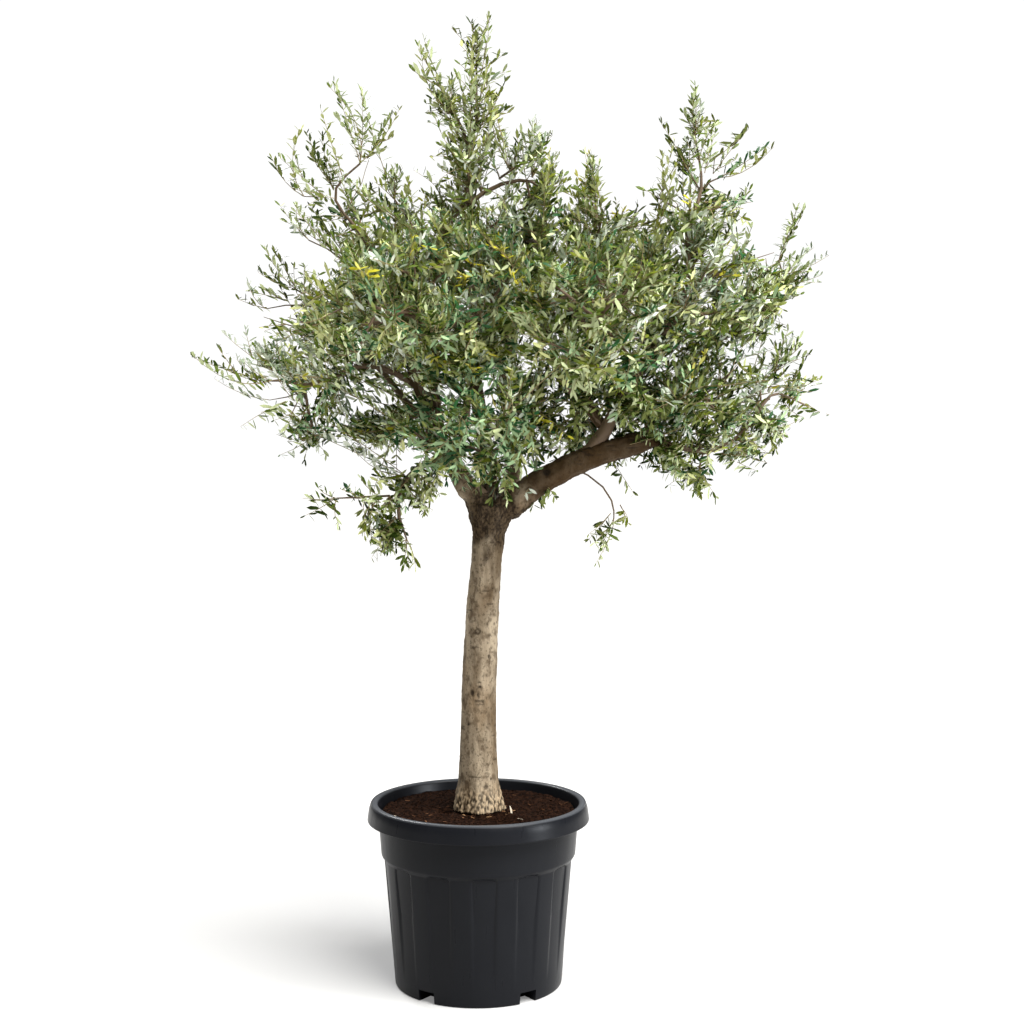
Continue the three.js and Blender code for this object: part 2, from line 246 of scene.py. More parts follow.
class Wood:
    """A tree of joints. Each has a place, a parent, and a way back to the trunk."""

    def __init__(self):
        self.places = []
        self.parents = []
        self.ways = []
        self.kinds = []

    def add(self, place, parent, kind):
        self.places.append(np.asarray(place, float))
        self.parents.append(parent)
        way = 0.0
        if parent >= 0:
            way = self.ways[parent] + float(np.linalg.norm(self.places[parent] - place))
        self.ways.append(way)
        self.kinds.append(kind)
        return len(self.places) - 1

    def heading(self, joint):
        """The direction in which the wood arrives at a joint."""
        parent = self.parents[joint]
        if parent < 0:
            return UP
        return unit(self.places[joint] - self.places[parent])

    def grow_to(self, joint, target, kind):
        """A bowed run of joints from one joint to a target point."""
        start = self.places[joint]
        length = float(np.linalg.norm(target - start))
        lead = unit(self.heading(joint) + 1.2 * unit(target - start) + 0.25 * UP)
        steps = max(1, int(round(length / BRANCH_STEP)))
        shares = np.linspace(0.0, 1.0, steps + 1)[1:]
        for place in bezier(start, start + 0.45 * length * lead, target, shares):
            joint = self.add(place, joint, kind)
        return joint


def grow_skeleton(masses, rng):
    """Boughs from the frame, then branches out to every mass and every leading tip."""
    wood = Wood()
    corners, _ = node_shape("trunk")
    top = corners[corners[:, 2] > corners[:, 2].max() - FORK_SLANT].mean(0)
    fork = wood.add(top, -1, "bough")
    for name in BOUGHS:
        joint = fork
        for place in limb_line(name, top)[0][1:]:
            joint = wood.add(place, joint, "bough")
    targets, sources = [], []
    for mass in masses:
        for point in mass.inner_points(TARGET_SPACING, rng):
            targets.append(point)
            sources.append("branch")
        for tip in mass.tips:
            run = np.linalg.norm(tip - mass.middle)
            for share in np.arange(0.3, LEAD_START, 0.06 / run):
                targets.append(mass.middle + (tip - mass.middle) * share)
                sources.append("leader")
    connect(wood, np.array(targets), sources)
    return wood


def connect(wood, targets, sources):
    """Joins the targets one by one, the cheapest first, to the growing wood."""
    cost = np.full(len(targets), np.inf)
    best = np.zeros(len(targets), int)
    waiting = np.ones(len(targets), bool)

    def consider(joint):
        if wood.kinds[joint] == "bough" and wood.ways[joint] < 0.13:
            return
        gap = np.linalg.norm(targets - wood.places[joint], axis=1)
        turn = unit(targets - wood.places[joint]) @ wood.heading(joint)
        price = gap * (1.25 - 0.25 * turn) + PATH_COST * (wood.ways[joint] + gap)
        better = price < cost
        cost[better] = price[better]
        best[better] = joint

    for joint in range(len(wood.places)):
        consider(joint)
    while waiting.any():
        pick = int(np.argmin(np.where(waiting, cost, np.inf)))
        waiting[pick] = False
        before = len(wood.places)
        wood.grow_to(int(best[pick]), targets[pick], sources[pick])
        for joint in range(before, len(wood.places)):
            consider(joint)


# ------------------------------------------------------------------ leafy shoots


# How each mass grows and looks: how closely set its shoots are, how much they hang, how
# many long whips stand out of it, and the share of its sprays in each leaf colour, in the
# order of LEAF_COLOURS.
BACK_LEAVES = (0.06, 0.24, 0.37, 0.22, 0.10, 0.01)
CREST_LEAVES = (0.04, 0.26, 0.39, 0.22, 0.08, 0.01)
WING_LEAVES = (0.06, 0.22, 0.35, 0.14, 0.22, 0.01)
HABITS = {
    "back_left": (0.70, 0.0, 10, BACK_LEAVES),
    "back_centre": (0.70, 0.0, 10, BACK_LEAVES),
    "back_right": (0.70, 0.0, 10, BACK_LEAVES),
    "front_left": (0.90, 0.0, 3, (0.18, 0.24, 0.32, 0.17, 0.08, 0.01)),
    "front_right": (0.90, 0.0, 3, (0.12, 0.22, 0.36, 0.19, 0.10, 0.01)),
    "spire": (0.90, 0.0, 14, (0.0, 0.14, 0.42, 0.36, 0.07, 0.01)),
    "left_crest": (0.26, 0.0, 15, CREST_LEAVES),
    "left_shoulder": (0.55, 0.0, 14, CREST_LEAVES),
    "right_crest": (0.42, 0.0, 18, CREST_LEAVES),
    "right_shoulder": (0.75, 0.0, 8, CREST_LEAVES),
    "heart": (1.35, 0.0, 2, (0.24, 0.14, 0.28, 0.21, 0.10, 0.03)),
    "front_cluster": (1.40, 0.1, 0, (0.50, 0.24, 0.16, 0.05, 0.04, 0.01)),
    # low_centre and right_low take about half their sprays in the dark deep colour: painted shade under
    # the crown.
    "low_centre": (1.35, 0.1, 4, (0.22, 0.52, 0.14, 0.08, 0.03, 0.01)),
    "left_wing": (0.62, 0.2, 14, (0.10, 0.26, 0.26, 0.04, 0.33, 0.01)),
    "left_low": (0.95, 0.3, 5, (0.08, 0.42, 0.26, 0.12, 0.11, 0.01)),
    "left_sprig": (0.45, 0.9, 3, (0.04, 0.42, 0.30, 0.16, 0.08, 0.0)),
    "right_sprig": (0.07, 1.2, 1, (0.0, 0.50, 0.32, 0.14, 0.04, 0.0)),
    "right_hem": (1.3, 0.5, 8, (0.06, 0.30, 0.34, 0.16, 0.13, 0.01)),
    "right_core": (1.3, 0.0, 0, (0.10, 0.16, 0.28, 0.14, 0.30, 0.02)),
    "right_low": (1.4, 0.1, 4, (0.18, 0.50, 0.14, 0.05, 0.12, 0.01)),
    "right_wing": (0.52, 0.0, 18, WING_LEAVES),
    "right_skirt": (0.38, 0.1, 15, WING_LEAVES),
}
PLAIN_HABIT = (1.1, 0.0, 4, (0.12, 0.18, 0.37, 0.20, 0.12, 0.01))


# Seen from the camera: places where the sky shows between the sprays, and places where they
# stand closest, each with its x, z and radius in the plane of the trunk. They are fitted
# values, not worked out from the frame.
SKY_GAPS = (
    (-0.24, 1.86, 0.080), (-0.38, 1.80, 0.060), (-0.38, 1.60, 0.070), (-0.46, 1.52, 0.060),
    (-0.53, 1.45, 0.040), (-0.50, 1.31, 0.075), (-0.21, 1.34, 0.050), (-0.37, 1.18, 0.045),
    (-0.17, 1.16, 0.045), (-0.17, 0.95, 0.030), (-0.10, 2.02, 0.040), (-0.07, 2.08, 0.035),
    (0.04, 1.765, 0.050), (0.11, 1.80, 0.030), (0.23, 1.08, 0.055), (0.25, 1.02, 0.040),
    (0.32, 1.76, 0.065), (0.40, 1.80, 0.045), (0.33, 1.03, 0.040), (0.50, 1.94, 0.030),
    (0.54, 1.83, 0.075), (0.54, 1.15, 0.050), (0.64, 1.65, 0.050), (0.61, 1.35, 0.055),
)
THICKETS = (
    (-0.31, 1.24, 0.030), (-0.27, 1.24, 0.040), (-0.21, 1.03, 0.045), (-0.17, 1.80, 0.025),
    (-0.11, 1.74, 0.025), (-0.11, 1.10, 0.030), (-0.10, 1.94, 0.025), (-0.03, 1.80, 0.025),
    (0.07, 1.38, 0.065), (0.14, 1.14, 0.025), (0.18, 1.74, 0.030), (0.39, 1.10, 0.030),
    (0.48, 1.38, 0.030), (0.66, 1.24, 0.030), (-0.46, 1.42, 0.040),
)
THICKET_SHOOTS = 5200.0  # to a square metre of a thicket


def seen_at(point):
    """Where a point seems to be, from the camera, in the upright plane of the trunk."""
    eye = np.array(CAMERA_PLACE)
    return eye + (point - eye) * eye[1] / (eye[1] - point[1])


def in_sky(point):
    x, _, z = seen_at(point)
    return any(math.hypot(x - gap[0], z - gap[1]) < gap[2] for gap in SKY_GAPS)


class Shoot:
    """One leafy twig: a bowed line from a joint of the wood."""

    def __init__(self, joint, line, kind, bare):
        self.joint = joint
        self.line = line
        self.kind = kind
        self.bare = bare  # share of its length without leaves, from the foot


def habit_of(mass):
    return HABITS.get(mass.name.removeprefix("foliage_"), PLAIN_HABIT)


def outward(point, middle, hang):
    """The way a shoot at a point likes to grow: away from the crown's middle, and up."""
    away = unit(point - middle)
    return unit(away + (0.55 - 1.3 * hang) * UP)


def crown_middle(masses):
    weights = np.array([mass.volume for mass in masses])
    places = np.array([mass.middle for mass in masses])
    middle = (places * weights[:, None]).sum(0) / weights.sum()
    middle[2] = places[:, 2].min() * 0.35 + middle[2] * 0.65
    return middle


def joint_finder(wood):
    finder = KDTree(len(wood.places))
    for index, place in enumerate(wood.places):
        finder.insert(Vector(place), index)
    finder.balance()
    return finder


def grow_shoot(wood, finder, tip, want, rng, kind):
    """A shoot that ends at a tip, from the nearby joint that suits its direction best."""
    choices = []
    for place, joint, gap in finder.find_n(Vector(tip), 12):
        if wood.kinds[joint] == "bough" and wood.ways[joint] < 0.12:
            continue
        lead = unit(tip - np.array(place))
        choices.append((gap * (1.6 - float(lead @ want)), joint))
    if not choices:
        return None
    joint = min(choices)[1]
    start = wood.places[joint]
    length = float(np.linalg.norm(tip - start))
    least = rng.uniform(*SHOOT_LENGTH) * 0.75
    if length < least:
        tip = tip + want * (least - length) * 0.5
        length = float(np.linalg.norm(tip - start))
    lead = unit(0.6 * wood.heading(joint) + unit(tip - start) + 0.3 * rng.normal(size=3))
    bend = start + 0.5 * length * lead
    steps = max(3, int(math.ceil(length / 0.03)))
    line = bezier(start, bend, tip, np.linspace(0.0, 1.0, steps + 1))
    leafy = rng.uniform(*SHOOT_LENGTH) * 1.25
    bare = max(0.08, 1.0 - leafy / max(length, 1e-6))
    return Shoot(joint, line, kind, bare)


def fill_mass(mass, wood, finder, middle, rng):
    """Shoots with their tips spread through one mass, closest together near its skin."""
    closeness, hang, whips, colours = habit_of(mass)
    litres = mass.volume * 1000.0
    wanted = int(closeness * (SHOOTS_PER_LITRE * litres + 12))
    low = mass.corners.min(0) - SHOOT_MARGIN
    high = mass.corners.max(0) + SHOOT_MARGIN
    shoots = []
    tries = 0
    while len(shoots) < wanted and tries < 40 * wanted:
        tries += 1
        tip = low + (high - low) * rng.random(3)
        depth = mass.depth(tip)
        if depth < -SHOOT_MARGIN or rng.random() > math.exp(-max(depth, 0.0) / 0.07):
            continue
        if in_sky(tip):
            continue
        want = outward(tip, middle, hang)
        want = unit(0.6 * want + 0.4 * unit(tip - mass.middle) + 0.22 * rng.normal(size=3))
        kind = int(rng.choice(len(colours), p=colours))
        shoot = grow_shoot(wood, finder, tip, want, rng, kind)
        if shoot is not None:
            shoots.append(shoot)
    shoots += lead_shoots(mass, wood, colours, rng)
    return shoots + whip_shoots(mass, wood, middle, rng)


def lead_shoots(mass, wood, colours, rng):
    """The long straight shoots out to the tips of a mass, with their side shoots."""
    found = []
    places = np.array(wood.places)
    for tip in mass.tips:
        root = mass.middle + LEAD_START * (tip - mass.middle)
        joint = int(np.argmin(np.linalg.norm(places - root, axis=1)))
        start = wood.places[joint]
        reach = tip - start
        length = float(np.linalg.norm(reach))
        kind = int(rng.choice(len(colours), p=colours))
        bend = start + 0.5 * reach + rng.normal(size=3) * 0.05 * length
        line = bezier(start, bend, tip, np.linspace(0, 1, max(4, int(length / 0.03))))
        found.append(Shoot(joint, line, kind, 0.04))
        for share in np.arange(0.10, SIDE_END, SIDE_PITCH / length):
            share += rng.uniform(-0.04, 0.04)
            foot = bezier(start, bend, tip, [share])[0]
            lead = unit(unit(reach) + 0.75 * unit(np.cross(reach, rng.normal(size=3))))
            size = rng.uniform(*SIDE_LENGTH) * (1.25 - 0.6 * share)
            top = foot + size * unit(lead + 0.12 * UP)
            side = bezier(foot, foot + 0.5 * size * lead, top, np.linspace(0, 1, 4))
            found.append(Shoot(joint, side, kind, 0.05))
    return found


def thicket_shoots(masses, wood, finder, middle, rng):
    """Added shoots in the thickets, each with the mass that it lies in or nearest to."""
    found = []
    places = np.array(wood.places)
    seen = np.array([seen_at(place) for place in places])
    for x, z, radius in THICKETS:
        near = places[np.hypot(seen[:, 0] - x, seen[:, 2] - z) < 2.5 * radius]
        for _ in range(int(THICKET_SHOOTS * math.pi * radius**2)):
            if not len(near):
                break
            depth = near[rng.integers(len(near))][1] + rng.normal() * 0.02
            spot = np.array([x, 0.0, z]) + rng.normal(size=3) * np.array([0.5, 0.0, 0.5]) * radius
            eye = np.array(CAMERA_PLACE)
            tip = eye + (spot - eye) * (eye[1] - depth) / eye[1]
            mass = max(masses, key=lambda mass: mass.depth(tip))
            _, hang, _, colours = habit_of(mass)
            want = unit(outward(tip, middle, hang) + 0.3 * rng.normal(size=3))
            kind = int(rng.choice(len(colours), p=colours))
            shoot = grow_shoot(wood, finder, tip, want, rng, kind)
            if shoot is not None:
                found.append((mass.name, shoot))
    return found


def whip_shoots(mass, wood, middle, rng):
    """Long single shoots that stand out of a mass one by one, with sky between them."""
    _, hang, whips, colours = habit_of(mass)
    places = np.array(wood.places)
    tips = list(mass.tips)
    found = []
    for _ in range(40 * whips):
        if len(found) == whips:
            break
        corner = mass.corners[rng.integers(len(mass.corners))]
        tip = corner + rng.normal(size=3) * 0.5 * SHOOT_MARGIN
        want = unit(outward(tip, middle, hang) + 0.22 * rng.normal(size=3))
        crowded = in_sky(tip) or any(np.linalg.norm(tip - other) < WHIP_GAP for other in tips)
        if crowded or unit(corner - mass.middle) @ want < 0.35 or mass.depth(tip) < -SHOOT_MARGIN:
            continue
        length = rng.uniform(*WHIP_LENGTH)
        joint = int(np.argmin(np.linalg.norm(places - (tip - length * want), axis=1)))
        start = wood.places[joint]
        bend = 0.5 * (start + tip) + rng.normal(size=3) * 0.06 * length
        line = bezier(start, bend, tip, np.linspace(0, 1, 9))
        kind = int(rng.choice(len(colours), p=colours))
        tips.append(tip)
        found.append(Shoot(joint, line, kind, 0.12))
    return found


# ------------------------------------------------------------------ leaves on a shoot


class Leaves:
    """Places, turns, sizes and colours of all the leaves of one piece."""

    def __init__(self):
        self.places = []
        self.turns = []
        self.sizes = []
        self.kinds = []

    def add(self, place, axis, face, length, width, kind):
        across = unit(np.cross(face, axis))
        face = np.cross(axis, across)
        turn = Matrix((across, axis, face)).transposed().to_euler()
        self.places.append(place)
        self.turns.append(tuple(turn))
        self.sizes.append((width, length, length))
        self.kinds.append(kind)


def dress(shoot, leaves, rng):
    """Pairs of leaves up a shoot, each pair a quarter turn from the last."""
    legs = np.linalg.norm(np.diff(shoot.line, axis=0), axis=1)
    ends = np.concatenate([[0.0], np.cumsum(legs)])
    total = ends[-1]
    start = total * shoot.bare + 0.006
    leafy = max(total - start, 1e-6)
    side = rng.normal(size=3)
    turn = rng.uniform(0, math.pi)
    reach = rng.uniform(0.85, 1.2)
    here = start
    while here < total + 0.002:
        spot = min(here, total)
        leg = min(int(np.searchsorted(ends, spot, side="right")) - 1, len(legs) - 1)
        share = (spot - ends[leg]) / max(legs[leg], 1e-9)
        place = shoot.line[leg] + share * (shoot.line[leg + 1] - shoot.line[leg])
        along = unit(shoot.line[leg + 1] - shoot.line[leg])
        first = unit(np.cross(along, side))
        second = np.cross(along, first)
        grown = (spot - start) / leafy
        size = reach * (0.72 + 0.5 * math.sin(math.pi * min(1.0, 0.18 + 0.74 * grown)))
        open_angle = math.radians(62 - 30 * grown)
        for half in (0.0, math.pi):
            if rng.random() < 0.08:
                continue
            spin = turn + half + rng.normal() * 0.22
            out = math.cos(spin) * first + math.sin(spin) * second
            lean = open_angle + rng.normal() * 0.17
            axis = unit(math.cos(lean) * along + math.sin(lean) * out)
            face = unit(along - (along @ axis) * axis)
            lit = unit(UP - (UP @ axis) * axis + 1e-6)
            face = unit(0.65 * face + 0.55 * lit + 0.25 * rng.normal(size=3))
            length = LEAF_LENGTH * size * rng.uniform(0.85, 1.15)
            width = LEAF_WIDTH * size * rng.uniform(0.85, 1.15)
            leaves.add(place, axis, face, length, width, shoot.kind)
        turn += math.pi / 2 + rng.normal() * 0.12
        here += LEAF_PITCH * rng.uniform(0.85, 1.15)
    tip = shoot.line[-1]
    along = unit(shoot.line[-1] - shoot.line[-2])
    face = unit(np.cross(along, side))
    leaves.add(tip, along, face, LEAF_LENGTH * 0.62 * reach, LEAF_WIDTH * 0.6, shoot.kind)


# ------------------------------------------------------------------ mesh helpers


def mesh_object(name, corners, faces=(), edges=()):
    mesh = bpy.data.meshes.new(name)
    mesh.from_pydata([tuple(c) for c in corners], edges, faces)
    mesh.update()
    piece = bpy.data.objects.new(name, mesh)
    bpy.context.scene.collection.objects.link(piece)
    return piece


def give(mesh, name, kind, domain, values):
    """A named attribute from an array of values."""
    attribute = mesh.attributes.new(name, kind, domain)
    field = "vector" if kind == "FLOAT_VECTOR" else "value"
    attribute.data.foreach_set(field, np.asarray(values).ravel())


def settled(piece, name):
    """The plain mesh that a piece's modifiers make, in place of the piece."""
    bpy.context.view_layer.update()
    graph = bpy.context.evaluated_depsgraph_get()
    mesh = bpy.data.meshes.new_from_object(piece.evaluated_get(graph))
    old = piece.data
    piece.modifiers.clear()
    piece.data = mesh
    mesh.name = name
    piece.name = name
    bpy.data.meshes.remove(old)
    return piece


def values_of(items, name, size=3):
    """A value of every item of a mesh, such as its corners' places, as rows of an array."""
    values = np.empty(len(items) * size)
    items.foreach_get(name, values)
    return values.reshape(-1, size)


def smooth_faces(piece):
    piece.data.polygons.foreach_set("use_smooth", np.ones(len(piece.data.polygons), bool))


def set_inputs(modifier, values):
    """Sets a Geometry Nodes modifier's inputs by name, through the sockets' identifiers."""
    for item in modifier.node_group.interface.items_tree:
        if item.item_type == "SOCKET" and item.in_out == "INPUT" and item.name in values:
            modifier[item.identifier] = values[item.name]


def new_tree(name, inputs):
    """An empty Geometry Nodes tree with its named inputs, and its two end nodes."""
    tree = bpy.data.node_groups.new(name, "GeometryNodeTree")
    tree.interface.new_socket("Geometry", in_out="INPUT", socket_type="NodeSocketGeometry")
    for label, kind in inputs:
        tree.interface.new_socket(label, in_out="INPUT", socket_type=kind)
    tree.interface.new_socket("Geometry", in_out="OUTPUT", socket_type="NodeSocketGeometry")
    return tree, tree.nodes.new("NodeGroupInput"), tree.nodes.new("NodeGroupOutput")


def named(tree, name, kind):
    node = tree.nodes.new("GeometryNodeInputNamedAttribute")
    node.data_type = kind
    node.inputs["Name"].default_value = name
    return node.outputs["Attribute"]


def tube_tree():
    """Edges with a girth at each corner become capped tubes."""
    inputs = [("Sides", "NodeSocketInt"), ("Bark", "NodeSocketMaterial")]
    tree, start, end = new_tree("branch_tubes", inputs)
    lines = tree.nodes.new("GeometryNodeMeshToCurve")
    ring = tree.nodes.new("GeometryNodeCurvePrimitiveCircle")
    ring.inputs["Radius"].default_value = 1.0
    sweep = tree.nodes.new("GeometryNodeCurveToMesh")
    sweep.inputs["Fill Caps"].default_value = True
    whole = tree.nodes.new("GeometryNodeRealizeInstances")
    paint = tree.nodes.new("GeometryNodeSetMaterial")
    link = tree.links.new
    link(start.outputs["Geometry"], lines.inputs["Mesh"])
    link(start.outputs["Sides"], ring.inputs["Resolution"])
    link(lines.outputs["Curve"], sweep.inputs["Curve"])
    link(ring.outputs["Curve"], sweep.inputs["Profile Curve"])
    link(named(tree, "girth", "FLOAT"), sweep.inputs["Scale"])
    link(sweep.outputs["Mesh"], whole.inputs["Geometry"])
    link(whole.outputs["Geometry"], paint.inputs["Geometry"])
    link(start.outputs["Bark"], paint.inputs["Material"])
    link(paint.outputs["Geometry"], end.inputs["Geometry"])
    return tree


def scatter_tree(name, finishes):
    """One small shape at each point, turned and sized there, then painted.

    finishes lists (input name, value of kind, value of back) for each material.
    """
    inputs = [("Shape", "NodeSocketObject"), ("Size", "NodeSocketFloat")]
    inputs += [(label, "NodeSocketMaterial") for label, _, _ in finishes]
    tree, start, end = new_tree(name, inputs)
    link = tree.links.new
    shape = tree.nodes.new("GeometryNodeObjectInfo")
    euler = tree.nodes.new("FunctionNodeEulerToRotation")
    scale = tree.nodes.new("ShaderNodeVectorMath")
    scale.operation = "SCALE"
    place = tree.nodes.new("GeometryNodeInstanceOnPoints")
    whole = tree.nodes.new("GeometryNodeRealizeInstances")
    link(start.outputs["Shape"], shape.inputs["Object"])
    link(named(tree, "turn", "FLOAT_VECTOR"), euler.inputs["Euler"])
    link(named(tree, "size", "FLOAT_VECTOR"), scale.inputs[0])
    link(start.outputs["Size"], scale.inputs["Scale"])
    link(start.outputs["Geometry"], place.inputs["Points"])
    link(shape.outputs["Geometry"], place.inputs["Instance"])
    link(euler.outputs["Rotation"], place.inputs["Rotation"])
    link(scale.outputs["Vector"], place.inputs["Scale"])
    link(place.outputs["Instances"], whole.inputs["Geometry"])
    last = whole.outputs["Geometry"]
    for label, kind, back in finishes:
        paint = tree.nodes.new("GeometryNodeSetMaterial")
        link(both(tree, same(tree, "kind", kind), same(tree, "back", back)), paint.inputs["Selection"])
        link(last, paint.inputs["Geometry"])
        link(start.outputs[label], paint.inputs["Material"])
        last = paint.outputs["Geometry"]
    link(last, end.inputs["Geometry"])
    return tree


def same(tree, name, value):
    node = tree.nodes.new("FunctionNodeCompare")
    node.data_type = "INT"
    node.operation = "EQUAL"
    for socket in node.inputs:
        if socket.identifier == "A_INT":
            tree.links.new(named(tree, name, "INT"), socket)
        if socket.identifier == "B_INT":
            socket.default_value = value
    return node.outputs["Result"]


def both(tree, first, second):
    node = tree.nodes.new("FunctionNodeBooleanMath")
    node.operation = "AND"
    tree.links.new(first, node.inputs[0])
    tree.links.new(second, node.inputs[1])
    return node.outputs[0]


# ------------------------------------------------------------------ materials


class Graph:
    """A shader tree, with short ways to make its nodes and join them."""

    def __init__(self, tree):
        self.tree = tree
        self.link = tree.links.new

    def node(self, kind, **inputs):
        """A new node; names of its inputs are given with _ for each space."""
        made = self.tree.nodes.new(f"ShaderNode{kind}")
        for name, value in inputs.items():
            made.inputs[name.replace("_", " ")].default_value = value
        return made

    def noise(self, scale, detail, stretch=(1, 1, 1)):
        """A noise on the piece's own coordinates, drawn out along its axes by a stretch."""
        mapping = self.node("Mapping", Scale=stretch)
        grain = self.node("TexNoise", Scale=scale, Detail=detail)
        self.link(self.node("TexCoord").outputs["Object"], mapping.inputs["Vector"])
        self.link(mapping.outputs["Vector"], grain.inputs["Vector"])
        return grain.outputs["Fac"]

    def attribute(self, name):
        made = self.node("Attribute")
        made.attribute_name = name
        return made.outputs["Fac"]

    def ranged(self, value, low, high, start=0.0, end=1.0):
        """A value between low and high brought to run from start to end."""
        made = self.node("MapRange", From_Min=low, From_Max=high, To_Min=start, To_Max=end)
        self.link(value, made.inputs["Value"])
        return made.outputs["Result"]

    def mixed(self, share, first, second):
        """A colour between two colours, each a socket or a plain colour."""
        made = self.node("Mix")
        made.data_type = "RGBA"
        self.link(share, made.inputs["Factor"])
        for value, socket in ((first, made.inputs[6]), (second, made.inputs[7])):
            if isinstance(value, tuple):
                socket.default_value = (*value, 1.0)
            else:
                self.link(value, socket)
        return made.outputs[2]


class Paint(Graph):
    """A material with a plain base colour, to which its patterns are added."""

    def __init__(self, name, colour, roughness, specular=0.5):
        self.material = bpy.data.materials.new(name)
        self.material.use_nodes = True
        super().__init__(self.material.node_tree)
        self.inputs = self.tree.nodes["Principled BSDF"].inputs
        self.inputs["Base Color"].default_value = (*colour, 1.0)
        self.inputs["Roughness"].default_value = roughness
        self.inputs["Specular IOR Level"].default_value = specular

    def bump(self, height, strength, distance):
        made = self.node("Bump", Strength=strength, Distance=distance)
        self.link(height, made.inputs["Height"])
        self.link(made.outputs["Normal"], self.inputs["Normal"])


# Leaf colours: upper side, under side and gloss of each kind of spray
LEAF_COLOURS = (
    ("teal", (0.026, 0.092, 0.030), (0.350, 0.500, 0.260), 0.34),
    # deep is a darker copy of the green, taken from shaded sprays: painted shade.
    ("deep", (0.024, 0.044, 0.004), (0.190, 0.225, 0.060), 0.36),
    ("grey_green", (0.098, 0.146, 0.020), (0.620, 0.690, 0.380), 0.40),
    ("olive", (0.150, 0.180, 0.016), (0.600, 0.630, 0.280), 0.42),
    ("silver", (0.250, 0.310, 0.210), (0.830, 0.880, 0.740), 0.46),
    ("yellow", (0.460, 0.430, 0.025), (0.560, 0.530, 0.130), 0.50),
)


def leaf_materials():
    made = {}
    for name, upper, under, gloss in LEAF_COLOURS:
        for side, colour, rough in (("upper", upper, gloss), ("under", under, gloss + 0.2)):
            paint = Paint(f"leaf_{name}_{side}", colour, rough, 0.13)
            waxy = paint.noise(260.0, 2.0)
            paint.link(paint.ranged(waxy, 0.3, 0.7, rough - 0.08, rough + 0.1),
                       paint.inputs["Roughness"])
            paint.bump(waxy, 0.25, 0.3 * MM)
            made[f"{name} {side}"] = paint.material
    return made


def twig_material(name, colour):
    paint = Paint(name, colour, 0.7)
    paint.bump(paint.noise(420.0, 3.0), 0.5, 0.5 * MM)
    return paint.material


def bark_material():
    """Grey-beige bark: pale plates, brown streaks, painted shade in its hollows, and browner boughs and
    a dark rough fork, both darkened in part as painted shade under the crown.
    """
    paint = Paint("olive_bark", (0.27, 0.21, 0.14), 0.85, 0.2)
    streaks = paint.noise(26.0, 6.0, (1, 1, 0.28))
    patches = paint.noise(9.0, 4.0, (1, 1, 0.6))
    blotches = paint.noise(58.0, 5.0, (1, 1, 0.8))
    specks = paint.noise(210.0, 4.0, (1, 1, 0.7))
    dark_fork = paint.mixed(paint.ranged(specks, 0.45, 0.60),
                            (0.085, 0.056, 0.030), (0.022, 0.013, 0.006))
    bark = paint.mixed(paint.ranged(streaks, 0.38, 0.64),
                       (0.130, 0.092, 0.054), (0.400, 0.322, 0.225))
    layers = (
        (paint.ranged(patches, 0.52, 0.70, 0.0, 0.55), (0.200, 0.118, 0.052)),
        (paint.ranged(blotches, 0.52, 0.66, 0.0, 0.72), (0.078, 0.050, 0.027)),
        (paint.ranged(specks, 0.55, 0.66, 0.0, 0.60), (0.050, 0.033, 0.018)),
        # The boughs are painted a darker brown: partly their own browner bark, partly painted shade
        # under the crown.
        (paint.ranged(paint.attribute("bough"), 0, 1, 0, 0.86), (0.042, 0.020, 0.004)),
        # About the fork the bark is rough and old, and its dark stands partly for painted shade under
        # the crown.
        (paint.ranged(paint.attribute("fork_aged_and_shaded"), 0, 1, 0, 0.95), dark_fork),
        (paint.attribute("torn"), (0.46, 0.345, 0.220)),
        # Pits, cracks, fissures, sunken scars and the broken foot are darkened: painted shade in the
        # hollows.
        (paint.attribute("hollow_shade"), (0.020, 0.012, 0.006)),
    )
    for share, colour in layers:
        bark = paint.mixed(share, bark, colour)
    paint.link(bark, paint.inputs["Base Color"])
    paint.link(paint.ranged(streaks, 0.3, 0.7, 0.95, 0.75), paint.inputs["Roughness"])
    paint.bump(paint.noise(300.0, 6.0, (1, 1, 0.5)), 0.9, 1.6 * MM)
    return paint.material


def pot_material():
    """Dark moulded plastic: a faint grain, slightly dusty, and a painted highlight along the top of its
    rim.
    """
    paint = Paint("pot_plastic", (0.0080, 0.0086, 0.0108), 0.34, 0.13)
    dusty = paint.mixed(paint.ranged(paint.noise(6.0, 6.0, (1, 1, 0.5)), 0.45, 0.80),
                        (0.0072, 0.0078, 0.0100), (0.0110, 0.0118, 0.0145))
    axes = paint.node("SeparateXYZ")
    paint.link(paint.node("TexCoord").outputs["Object"], axes.inputs["Vector"])
    # The top of the rim is painted a lighter grey: a painted highlight.
    rim_highlight = paint.ranged(axes.outputs["Z"], *RIM_HIGHLIGHT_BAND)
    paint.link(paint.mixed(rim_highlight, dusty, (0.075, 0.080, 0.090)), paint.inputs["Base Color"])
    rub = paint.noise(60.0, 5.0, (1, 1, 0.15))
    paint.link(paint.ranged(rub, 0.3, 0.7, 0.27, 0.36), paint.inputs["Roughness"])
    paint.bump(paint.noise(900.0, 2.0), 0.12, 0.2 * MM)
    return paint.material


def crumb_paint(name, colour):
    paint = Paint(name, colour, 0.95, 0.04)
    paint.bump(paint.noise(520.0, 5.0), 0.9, 1.5 * MM)
    return paint


def soil_material():
    """Dark brown potting mix with lighter lumps."""
    dark, light = (0.0050, 0.0018, 0.0008), (0.026, 0.0110, 0.0058)
    paint = crumb_paint("potting_mix", dark)
    lumps = paint.ranged(paint.noise(130.0, 6.0), 0.42, 0.66)
    paint.link(paint.mixed(lumps, dark, light), paint.inputs["Base Color"])
    return paint.material


# ------------------------------------------------------------------ camera, light and floor


